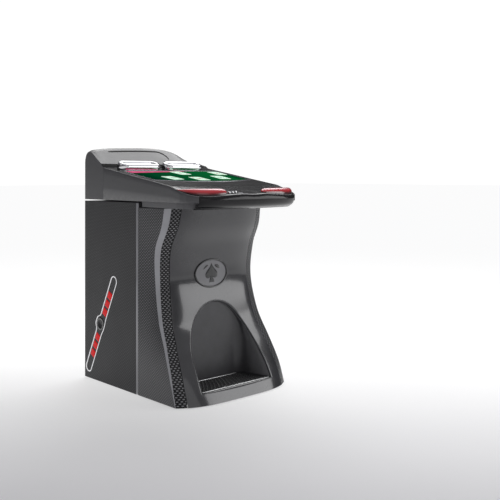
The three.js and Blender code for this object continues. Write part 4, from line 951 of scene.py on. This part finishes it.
def makeNose():
    # section from the deck's break forwards over the rim, down the tip and back under the lip
    reachX = console["noseHalf"] - 0.4
    x = np.linspace(-reachX, reachX, nose["stations"])[:, None]
    tip = noseFront(x)
    topY = (breakY - 0.4) + (tip + nose["rimSetback"] - breakY + 0.4) * np.linspace(0, 1, 14)[None, :]
    rimZ = topZ(x, tip + nose["rimSetback"])
    tops = stack(x + 0 * topY, topY, topZ(x + 0 * topY, topY))
    panBottom = cabinet["panBottom"]
    lower = np.stack([
        tops[:, -2], stack(x, tip + nose["rimSetback"] * 0.55, rimZ - 0.6)[:, 0],
        stack(x, tip + 3, rimZ - 8)[:, 0],
        stack(x, tip, 0 * x + consoleBottom + 8)[:, 0], stack(x, tip + 9, 0 * x + consoleBottom - 12)[:, 0],
        stack(x, tip + 34, 0 * x + panBottom - 3)[:, 0]], axis=1)
    section = np.concatenate([tops[:, :-2], roundedPath(lower, [8, 7, 14, 12], 7)], axis=1)
    shoulders = []
    for side in (-1, 1):
        wide = side * np.linspace(reachX, half - console["wall"] - 0.4, 12)[:, None]
        frontLine = noseFront(wide, console["wall"] + 0.4)
        backward = breakY - 0.4 + (frontLine - breakY + 0.4) * np.linspace(0, 1, 16)[None, :]
        shoulders.append(grid(stack(wide + 0 * backward, backward,
                                    topZ(wide + 0 * backward, backward) - 0.15)))
    return [grid(section)] + shoulders


def topCentre(node):
    # middle, lowest and highest level of a CAD node
    low, high = boxOf(node)
    return (low[0] + high[0]) / 2, (low[1] + high[1]) / 2, low[2], high[2]


def noseHoles():
    # one hole round each button's stem, and one round the lock's barrel, which is the left part of its box
    found = []
    for number in (1, 2, 3):
        x, y, low, high = topCentre(f"push_button_{number}")
        found.append((x, y, nose["buttonHole"], consoleBottom, high + 20))
    low, high = boxOf("nose_lock")
    found.append((low[0] + nose["lockRadius"], (low[1] + high[1]) / 2, nose["lockHole"], consoleBottom,
                  high[2] + 20))
    return found


noseSkin = makePiece(
    "nose_skin", makeNose(), [noseBlack], "console", "black_plastic", ["nose_moulding"], towards=(0, -0.5, 1),
    wall=nose["skin"], crease=45)
pierce(noseSkin, noseHoles())

armrest = {"width": 32, "crown": 51, "setback": 32, "inner": 118, "outerInset": 2}


def makeArmrest(sign):
    # arched section along the lobe: half an ellipse on the nose's own top, narrowed at both ends
    outer = half - armrest["outerInset"]
    inner = armrest["inner"] if sign < 0 else armrest["inner"] - 60
    share = (1 - np.cos(np.linspace(0, math.pi, 90))) / 2
    x = (sign * (outer + (inner - outer) * share))[:, None]
    middle = noseFront(x) + armrest["setback"]
    ease = np.sqrt(np.maximum(1 - np.abs(2 * share - 1) ** 8, 0.0004))[:, None]
    wide = armrest["width"] / 2 * ease
    angle = np.linspace(0, math.pi, 22)[None, :]
    y = middle - np.cos(angle) * wide
    rise = (consoleBottom + armrest["crown"] - topZ(x, middle)) * ease
    z = topZ(x + 0 * y, y) + 0.8 + rise * np.sin(angle) ** 0.8
    under = middle + np.linspace(1, -1, 8)[None, 1:-1] * wide
    y = np.concatenate([y, under], axis=1)
    z = np.concatenate([z, topZ(x + 0 * under, under) + 0.8], axis=1)
    return grid(stack(x + 0 * y, y, z), closeAcross=True, caps="se")


for side, sign in (("left", -1), ("right", 1)):
    makePiece(
        f"armrest_bar_{side}", [makeArmrest(sign)], [armrestRed], "console", "red_lens",
        [f"armrest_light_{side}"], crease=70)

hump = {
    "ridge": [[-1, 203], [-0.94, 209], [-0.87, 212], [-0.7, 217], [-0.42, 221], [0, 223], [0.25, 220],
              [0.45, 212],
              [0.6, 199], [0.757, 175], [0.885, 157], [1, 148]],
    "corner": [[-1, 165], [-0.94, 196], [-0.87, 205], [-0.6, 214], [0, 217], [0.45, 207], [0.757, 170],
               [1, 143]],
    "ridgeSetback": 48, "footRise": 153, "footSetback": 123, "stations": 150,
    "reliefHalf": 165, "reliefFade": 14, "reliefDeep": 12, "reliefHigh": 2.5,
}
ridgeAt, cornerAt = smoothCurve(hump["ridge"]), smoothCurve(hump["corner"])


def humpCorners(x):
    # the section's corners at each station, from the foot of the rear face over the top and back below
    share = x / half
    ridge, corner = consoleBottom + ridgeAt(share), consoleBottom + cornerAt(share)
    foot = humpFrontY + 0.4
    faceFoot = np.minimum(consoleBottom + hump["footRise"], ridge - 4)
    # the rear edge slopes up a little over the hinge and runs out level on both sides of it
    relief = hump["reliefHigh"] * np.clip((hump["reliefHalf"] - np.abs(x)) / hump["reliefFade"], 0, 1)
    rows = [(rearY, consoleBottom + relief), (rearY, corner), (rearY - 10, corner + (ridge - corner) * 0.7),
            (rearY - 30, ridge), (rearY - hump["ridgeSetback"], ridge - 2),
            (rearY - hump["footSetback"], faceFoot),
            (foot, topZ(x, humpFrontY)), (foot, consoleBottom),
            (rearY - hump["reliefDeep"], consoleBottom)]
    return np.stack([stack(x, y, z) for y, z in rows], axis=-2)


def makeHump():
    # the section's corners are rounded, and stations crowd towards both ends
    t = np.linspace(-1, 1, hump["stations"])
    x = half * np.sin(t * math.pi / 2) * 0.7 + half * t * 0.3
    radii = [10, 12, 14, 16, 5, 2, 1]
    points = roundedPath(humpCorners(x), radii, 6)
    looks = np.zeros(points.shape[1], int)
    # each rounded corner has six points, and the second look lies on the stretch ahead of the sixth corner
    looks[1 + 6 * 4 + 5:1 + 6 * 5 + 1] = 1
    return grid(points, closeAcross=True, caps="se", look=looks)


humpPoints, humpFaces, humpLooks = makeHump()
# the two end caps take the third look
humpPart = humpPoints, humpFaces, humpLooks[:-2] + [2, 2]
makePiece(
    "hump_shell", [humpPart], [humpPaint, deckBlack, consoleFlat], "console", "grey_moulding", ["hump_cover"],
    bevel=3.5, crease=42, bevelSteps=4)

hinge = {"radius": 4, "bore": 2.15, "half": 129.7, "setback": 5.2, "drop": 3, "groove": 0.5, "knuckles": 7}


def makeKnuckle():
    # barrel along X about the hinge's axis, with a shallow groove where each knuckle meets the next
    axisY, axisZ = rearY - hinge["setback"], consoleBottom - hinge["drop"]
    x = np.linspace(-hinge["half"], hinge["half"], hinge["knuckles"] * 12 + 1)[:, None]
    near = np.abs((x / (2 * hinge["half"]) + 0.5) * hinge["knuckles"] % 1.0 - 0.5)
    radius = hinge["radius"] - hinge["groove"] * (near > 0.47)
    # the outer rows run to the right end, and two rows of the bore lead back, which closes the tube
    x = np.concatenate([x, [[hinge["half"]], [-hinge["half"]]]])
    radius = np.concatenate([radius, [[hinge["bore"]], [hinge["bore"]]]])
    a = circle(24)[None, :]
    return grid(stack(x + 0 * a, axisY + radius * np.cos(a), axisZ + radius * np.sin(a)), closeAcross=True,
                closeAlong=True)


makePiece("lid_hinge_knuckle", [makeKnuckle()], [steel], "console", "sheet_steel", crease=40)

strip = {"width": 8, "proud": 0.7, "count": 70, "from": -208, "straight": 248, "bend": 48, "turnsAt": 0.7}


def makeGrooveShade():
    # flat black band on the hump's face, painted shade standing for the shade in the groove: its place down
    # the face is 0.2, then falls with the square of the turn
    t = np.linspace(0, 1, strip["count"])
    start, length, turnsAt = strip["from"], strip["straight"], strip["turnsAt"]
    turn = np.clip((t - turnsAt) / 0.3, 0, 1)
    x = np.where(t < turnsAt, start + length * t / turnsAt,
                 start + length + strip["bend"] * np.sin(turn * math.pi / 2))
    drop = 0.2 + 0.5 * turn ** 2
    corners = humpCorners(x)
    top, foot = corners[:, 4], corners[:, 5]
    down = foot - top
    length = np.linalg.norm(down, axis=1, keepdims=True)
    down = down / length
    out = np.stack([0 * x, down[:, 2], -down[:, 1]], axis=1)
    centre = top + down * length * drop[:, None]
    path = np.gradient(centre, axis=0)
    path /= np.linalg.norm(path, axis=1, keepdims=True)
    sideways = np.cross(path, out)
    sideways /= np.linalg.norm(sideways, axis=1, keepdims=True)
    taper = np.sqrt(np.clip(1 - np.abs(2 * t - 1) ** 30, 0.05, 1))[:, None]
    rows = [(-0.5, -1.0), (-0.5, 0.5), (-0.3, 1), (0.3, 1), (0.5, 0.5), (0.5, -1.0)]
    return np.stack([centre + sideways * strip["width"] * taper * a + out * strip["proud"] * b for a,
                     b in rows], axis=1)


makePiece(
    "hump_inlay_band", [grid(makeGrooveShade(), closeAcross=True, caps="se")], [slotBlack], "console",
    "black_plastic", ["hump_strip"], crease=50)
print("console shell made")

deck = {
    "half": half - 6.4, "margin": 13, "glassFront": 88, "frontRise": 45, "bezelWide": 200, "bezelDeep": 64,
    "frontHigh": 24, "rearHigh": 33, "bezelMargin": 12, "gap": 28, "shift": -22,
}
deckRun = (humpFrontY - breakY) / math.cos(console["slope"])
glassHalf = deck["half"] - deck["margin"]
bezelMiddle = deckRun - deck["bezelMargin"] - deck["bezelDeep"] / 2
glassRear = bezelMiddle - deck["bezelDeep"] / 2 - 8


def onDeck(points):
    # points are (x, up the slope, above the deck), turned by the slope about the break
    x, up, lift = points[..., 0], points[..., 1], points[..., 2]
    c, s = math.cos(console["slope"]), math.sin(console["slope"])
    return stack(x, breakY + up * c - lift * s, breakZ + up * s + lift * c)


def glassFrontAt(x, inset):
    # the glass's front line: it rises with the square of the distance from the middle
    return deck["glassFront"] + inset + deck["frontRise"] * (x / glassHalf) ** 2


def deckSheet(inset, lift, look=0, columns=60, rows=24, rearInset=None):
    # sheet from the curved front line to the straight rear line, moved in by the inset all round
    rear = glassRear - (inset if rearInset is None else rearInset)
    x = np.linspace(-1, 1, columns)[None, :] * (glassHalf - inset)
    t = np.linspace(0, 1, rows)[:, None]
    up = glassFrontAt(x, inset) * (1 - t) + rear * t
    return grid(onDeck(stack(x + 0 * up, up, lift)), look=look)


def outlineLoop(inset, count=90, rearInset=None):
    # closed line round the glass: curved front, two sides and straight rear
    rear = glassRear - (inset if rearInset is None else rearInset)
    wide = glassHalf - inset
    x = np.linspace(-wide, wide, count)
    frontLine = np.c_[x, glassFrontAt(x, inset)]
    sides = np.linspace(frontLine[-1, 1], rear, 20)[1:-1]
    backLine = np.c_[x[::-3], np.full(len(x[::-3]), rear)]
    return np.concatenate([frontLine, np.c_[np.full(18, wide), sides], backLine,
                           np.c_[np.full(18, -wide), sides[::-1]]])


def deckTrim(inset, width, low, high, look=0, rearInset=None):
    # raised strip along a closed outline: inner and outer line at two heights
    outer = outlineLoop(inset, rearInset=rearInset)
    inner = outlineLoop(inset + width, rearInset=(None if rearInset is None else rearInset + width))
    rows = np.stack([np.c_[outer, np.full(len(outer), low)],
                     np.c_[outer * 0.75 + inner * 0.25, np.full(len(outer), high)],
                     np.c_[outer * 0.25 + inner * 0.75, np.full(len(outer), high)],
                     np.c_[inner, np.full(len(outer), low)]])
    return grid(onDeck(rows), closeAcross=True, closeAlong=True, look=look)


makePiece(
    "display_glass_sheet", [deckSheet(0.4, -0.2)], [deckBlack], "console", "screen_glass", ["display_glass"],
    towards=(0, 0, 1), wall=3.5, crease=45)
makePiece(
    "display_picture", [deckSheet(17, 0.05, rearInset=10)], [screenFelt], "console", "screen_glass",
    towards=(0, 0, 1), wall=0.2, crease=45)
makePiece(
    "display_trim", [deckTrim(-1.2, 3.0, -0.6, 1.3), deckTrim(13.5, 2.6, -0.1, 0.9, rearInset=6)], [silver],
    "console", "chrome", crease=50)

cards = {
    "middles": [(8, 96), (208, 92), (-128, -30), (-5, -50), (133, -20)], "size": (60, 84),
    "turns": (4, -3, 6, 1, -5),
}


def makeCard(x, y, turn, red):
    # card with a rounded outline, turned about its middle, with one large and four small pips on it
    up0 = (y - breakY) / math.cos(console["slope"])
    cx, cy = squircle(*cards["size"], 48)
    c, s = math.cos(math.radians(turn)), math.sin(math.radians(turn))

    def layer(px, py, lift):
        return onDeck(stack(x + px * c - py * s, up0 + px * s + py * c, lift))

    rings = np.stack([layer(cx, cy, 0.1), layer(cx, cy, 0.45), layer(cx * 0.02, cy * 0.02, 0.45)])
    parts = [grid(rings, closeAcross=True)]
    b = circle(12)
    for px, py in ((0, 0), (-15, 24), (15, -24), (-15, -2), (15, 2)):
        r = 6.5 if px == 0 else 3.6
        dot = np.stack([layer(px + np.cos(b) * r, py + np.sin(b) * r * 1.2, 0.4),
                        layer(px + np.cos(b) * r, py + np.sin(b) * r * 1.2, 0.56),
                        layer(px + np.cos(b) * 0.02, py + np.sin(b) * 0.02, 0.56)])
        parts.append(grid(dot, closeAcross=True, look=1 if red else 2))
    return parts


for number, ((cardX, cardY), turnBy) in enumerate(zip(cards["middles"], cards["turns"]), start=1):
    makePiece(
        f"picture_card_{number}", makeCard(cardX, cardY, turnBy, number % 2 == 0),
        [screenCard, pipRed, pipBlack], "console", "screen_glass", towards=(0, 0, 1), crease=50, merge=0.005)


banner = {"from": -236, "long": 300, "deep": 44, "least": 5, "lift": 0.32}


def makeBanner():
    # lit band along the left rear of the picture, narrowing towards its right end
    t = np.linspace(0, 1, 60)[:, None]
    x = banner["from"] + banner["long"] * t
    deep = banner["deep"] * (1 - t) ** 0.8 + banner["least"]
    s = np.linspace(0, 1, 6)[None, :]
    up = glassRear - 11 - deep * s
    return grid(onDeck(stack(x + 0 * up, up, banner["lift"])))


makePiece(
    "picture_banner", [makeBanner()], [bannerPink], "console", "screen_glass", towards=(0, 0, 1), wall=0.2)


def pill(inset, count=48):
    # long rounded outline about its own middle: two half circles joined by straight lines
    r = deck["bezelDeep"] / 2 - inset
    flat = deck["bezelWide"] / 2 - deck["bezelDeep"] / 2
    a = np.linspace(-math.pi / 2, math.pi / 2, count)
    right = np.c_[flat + r * np.cos(a), r * np.sin(a)]
    return np.concatenate([right, -right])


def makeBezel(x):
    # rings of the pill outline step inwards while they rise over a round shoulder and dip to a dished middle
    steps = [(0, 0.0), (0, 0.35), (0.0, 0.62), (0.8, 0.78), (2.6, 0.91), (5.5, 0.985), (9, 1.0),
             (12.5, 0.975),
             (15.5, 0.9), (18, 0.8), (21, 0.73), (25, 0.7), (29.5, 0.69)]
    rows = []
    for inset, share in steps:
        line = pill(inset)
        lean = (line[:, 1] / deck["bezelDeep"] + 0.5)
        high = deck["frontHigh"] + (deck["rearHigh"] - deck["frontHigh"]) * lean
        rows.append(onDeck(stack(line[:, 0] + x, line[:, 1] + bezelMiddle, 0.3 + high * share)))
    return grid(np.stack(rows), closeAcross=True, caps="e")


# across, up the deck, bottom, top and look of each bar; then place and radius of each round
mouth = {"bars": ((98, 11, 16, 22.6, 0), (92, 6, 16, 23.0, 1)), "rounds": ((-70, 9), (70, 7))}


def makeMouth(x):
    # dark slot with a bright lip: rounded bar shapes standing in the dished middle
    parts = []
    for wide, deep, low, high, look in mouth["bars"]:
        px, py = squircle(wide, deep, 40)
        rows = np.stack([onDeck(stack(x + px * k, bezelMiddle + py * k, lift))
                         for k, lift in ((1, low), (1, high - 0.8), (0.985, high), (0.02, high))])
        parts.append(grid(rows, closeAcross=True, look=look))
    for dx, r in mouth["rounds"]:
        a = circle(28)
        rows = np.stack([onDeck(stack(x + dx + np.cos(a) * r * k, bezelMiddle + np.sin(a) * r * k, lift))
                         for k, lift in ((1, 16), (1, 23.5), (0.86, 24.4), (0.7, 24.4), (0.62, 22.9),
                                         (0.02, 22.7))])
        parts.append(grid(rows, closeAcross=True, look=np.array([0, 0, 0, 1, 1])[:, None]))
    return parts


for name, side in (("ticket", -1), ("bill", 1)):
    bezelX = deck["shift"] + side * (deck["bezelWide"] + deck["gap"]) / 2
    makePiece(
        f"{name}_bezel_shell", [makeBezel(bezelX)], [chromed], "console", "chrome", [f"{name}_bezel"],
        towards=(0, 0, 1), crease=60)
    makePiece(f"{name}_mouth", makeMouth(bezelX), [chromed, glossBlack], "console", "chrome", crease=50)
print("deck made")

for number in (1, 2, 3):
    cx, cy, low, high = topCentre(f"push_button_{number}")
    profile = [(0, low), (7, low), (7, low + 3), (5, low + 3), (5, high - 1.6), (4.6, high - 0.6),
               (3.6, high), (0, high)]
    makePiece(
        f"button_cap_{number}", [turned(profile, (cx, cy, 0))], [chromed], f"push_button_{number}", "chrome",
        [f"push_button_{number}"], crease=50)
    rest = high - 7
    collar = [(5.4, rest - 3), (8.2, rest - 3), (8.2, rest + 0.9), (7.4, rest + 1.5), (5.9, rest + 1.5),
              (5.4, rest + 1)]
    makePiece(
        f"button_collar_{number}", [turned(collar + collar[:1], (cx, cy, 0))], [blackPlastic], "console",
        "black_plastic", crease=40)

lockLow, lockHigh = boxOf("nose_lock")
lockX, lockY = lockLow[0] + nose["lockRadius"], (lockLow[1] + lockHigh[1]) / 2
barrel = [(0, lockLow[2]), (8, lockLow[2]), (8, lockHigh[2] - 1.2), (7, lockHigh[2]), (5.6, lockHigh[2]),
          (5.2, lockHigh[2] - 0.5), (0, lockHigh[2] - 0.5)]
cam = slab(lockX + 2, lockHigh[0], lockY - 5, lockY + 5, lockLow[2], lockLow[2] + 3)
# the keyway is a thin black slab standing for the shade in the key's opening, as painted shade
keyway = slab(lockX - 0.7, lockX + 0.7, lockY - 3.6, lockY + 3.6, lockHigh[2] - 1, lockHigh[2] - 0.35, look=1)
makePiece(
    "nose_lock_barrel", [turned(barrel, (lockX, lockY, 0)), cam, keyway], [chromed, glossBlack], "nose_lock",
    "chrome", ["nose_lock"], crease=40)

inlay = {"top": (rearY - 222, 428), "foot": (rearY - 32, 52), "halfWide": 23, "boss": 34, "shift": 7,
         "rim": 4.6,
         "proud": 0.8, "window": 7, "step": 8}
inlayLean = math.atan2(inlay["foot"][0] - inlay["top"][0], inlay["top"][1] - inlay["foot"][1])
inlayLong = math.hypot(inlay["top"][0] - inlay["foot"][0], inlay["top"][1] - inlay["foot"][1]) / 2
inlayMiddle = ((inlay["top"][0] + inlay["foot"][0]) / 2, (inlay["top"][1] + inlay["foot"][1]) / 2)


def ontoWall(points):
    # from the inlay's frame (across, up its length, into the wall) to the left side wall
    x, up, deep = points[..., 0], points[..., 1], points[..., 2]
    c, s = math.cos(inlayLean), math.sin(inlayLean)
    return stack(-half + deep, inlayMiddle[0] + x * c - up * s, inlayMiddle[1] + x * s + up * c)


def inlayLine(inset):
    # capsule outline whose two long sides swell round the boss by a bell curve
    r = inlay["halfWide"] - inset
    up = np.linspace(-inlayLong, inlayLong, 120)
    bell = np.exp(-(up / 27) ** 4)
    rearSide = r + (inlay["boss"] + inlay["shift"] - inlay["halfWide"]) * bell
    frontSide = r + (inlay["boss"] - inlay["shift"] - inlay["halfWide"]) * bell
    a = np.linspace(0, math.pi, 26)[1:-1]
    return np.concatenate([
        np.c_[rearSide, up], np.c_[r * np.cos(a), inlayLong + r * np.sin(a)],
        np.c_[-frontSide[::-1], up[::-1]], np.c_[-r * np.cos(a), -inlayLong - r * np.sin(a)]])


def makeInlayRim():
    # the outline moved in step by step: up the outer wall, over the top and down the inner wall
    rows = [(0.4, 2.6), (0.4, -0.3), (1.0, -inlay["proud"]), (inlay["rim"] - 0.6, -inlay["proud"]),
            (inlay["rim"], -0.3), (inlay["rim"], 2.6)]
    return grid(np.stack([ontoWall(np.c_[inlayLine(d), np.full(len(inlayLine(d)), deep)]) for d,
                          deep in rows]),
                closeAcross=True, closeAlong=True)


def makeInlayBack():
    # the outline shrunk sideways in even steps to its long axis
    line = inlayLine(inlay["rim"] - 0.2)
    t = np.linspace(1, 0, 5)[:, None, None]
    flat = line[None] * np.concatenate([t, np.ones_like(t)], axis=2)
    points = np.concatenate([flat, np.full(flat.shape[:2] + (1,), 1.6)], axis=2)
    return grid(ontoWall(points), closeAcross=True)


def makeLenses():
    # six square windows with pillowed tops, in two rows of three either side of the boss
    room = 2 * (inlay["halfWide"] - inlay["window"])
    side, pitch, start = room - 2, room + inlay["step"], inlay["boss"] + room - 4
    parts = []
    u = np.linspace(-1, 1, 9)[:, None]
    v = np.linspace(-1, 1, 9)[None, :]
    for i in range(3):
        for sign in (-1, 1):
            middle = sign * (start + i * pitch)
            crown = 0.9 - 0.7 * (1 - u ** 6) * (1 - v ** 6)
            parts.append(grid(ontoWall(stack(u * side / 2, middle + v * side / 2, crown))))
    return parts


def makeBoss():
    # black ring with a dished middle on the swelling
    profile = [(26.5, 2.4), (26.5, 0.6), (25.2, -0.1), (19.5, -0.3), (18.6, 0.2), (17.0, 1.2), (0.02, 1.4)]
    radius, deep = np.array(profile).T
    a = circle(56)[None, :]
    points = stack(inlay["shift"] + radius[:, None] * np.cos(a), radius[:, None] * np.sin(a), deep[:, None])
    looks = np.array([0] * 5 + [1])[:, None]
    return grid(ontoWall(points), closeAcross=True, look=looks)


for sideName, flip in (("left", lambda part: part), ("right", mirroredPart)):
    outward = (-1, 0, 0) if sideName == "left" else (1, 0, 0)
    makePiece(
        f"{sideName}_inlay_border", [flip(makeInlayRim())], [whiteRimPaintedGlow], "cabinet", "white_rim",
        [f"{sideName}_inlay_rim"], crease=50)
    makePiece(
        f"{sideName}_inlay_backing", [flip(makeInlayBack())], [carbonSideShaded], "cabinet", "black_plastic",
        towards=outward, wall=0.6)
    makePiece(
        f"{sideName}_inlay_windows", [flip(part) for part in makeLenses()], [redGlow], "cabinet", "red_lens",
        [f"{sideName}_inlay_lenses"], towards=outward, wall=1.2)
    makePiece(
        f"{sideName}_inlay_hub", [flip(makeBoss())], [glossBlack, carbonSideShaded], "cabinet", "black_plastic",
        [f"{sideName}_inlay_boss"], towards=outward, wall=0.4)
print("inlays made")

kept = {
    carbonSideShaded: ["left_rear_side", "right_rear_side"],
    panelPaint: ["rear_panel", "service_door", "cash_drawer"],
    lipPaint: ["console_pan"],
    steel: ["rear_floor", "rear_top_frame", "module_divider", "door_hinge_lower", "door_hinge_upper",
            "logic_box",
            "power_supply", "drawer_runner_left", "drawer_runner_right", "front_floor", "front_top_frame",
            "console_hinge", "ticket_printer", "bill_validator"],
    blackPlastic: ["fan_frame", "fan_rotor", "power_inlet", "foot_tray", "display_panel"],
    chromed: ["door_lock", "drawer_lock"],
    redGlow: ["power_rocker"],
    rubberBlack: ["rear_left_foot", "rear_right_foot", "front_left_foot", "front_right_foot"],
    deckBlack: ["deck_frame"],
}
for look, names in kept.items():
    for name in names:
        for socket in nodes[name].material_slots:
            socket.material = look

screws = {"head": 4.6, "rise": 2.2, "fromEdge": 14, "fromCorner": 26, "fromFan": 8}


def makeScrew(x, y, z, facing=1):
    # button head: quarter-ellipse dome with a six-sided socket sunk in it
    bend = np.linspace(0, math.pi / 2, 6)
    radius = np.concatenate([screws["head"] * np.cos(bend) * 0.62 + screws["head"] * 0.38, [1.7, 0.02]])
    rise = np.concatenate([screws["rise"] * np.sin(bend), [screws["rise"] * 0.35, screws["rise"] * 0.3]])
    a = circle(18)[None, :]
    points = stack(x + radius[:, None] * np.cos(a), y + facing * rise[:, None],
                   z + radius[:, None] * np.sin(a))
    # the socket's rows take the second look, black, as painted shade in the recess
    looks = np.array([0] * 5 + [1, 1])[:, None]
    return grid(points, closeAcross=True, look=looks)


panelLow, panelHigh = boxOf("rear_panel")
panelFace = panelHigh[1]
edgeX, ends = panelHigh[0] - screws["fromEdge"], screws["fromCorner"]
spots = [(s * edgeX, z) for s in (-1, 1) for z in np.linspace(panelLow[2] + ends, panelHigh[2] - ends, 7)]
spots += [(x, z) for x in (-130, 0, 130) for z in (panelLow[2] + 22, panelHigh[2] - screws["fromEdge"])]
makePiece(
    "rear_panel_screws", [makeScrew(x, panelFace, z) for x, z in spots], [steel, glossBlack], "cabinet",
    "sheet_steel", towards=(0, 1, 0), crease=40)
fanLow, fanHigh = boxOf("fan_frame")
fanIn = screws["fromFan"]
fanX, fanZ = ((fanLow[axis] + fanIn, fanHigh[axis] - fanIn) for axis in (0, 2))
doorSpots = [(x, z) for x in fanX for z in fanZ]
makePiece(
    "fan_screws", [makeScrew(x, panelFace, z) for x, z in doorSpots], [steel, glossBlack], "service_door",
    "sheet_steel", towards=(0, 1, 0), crease=40)
print("fasteners made")

visualBox = [list(corner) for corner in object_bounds()]
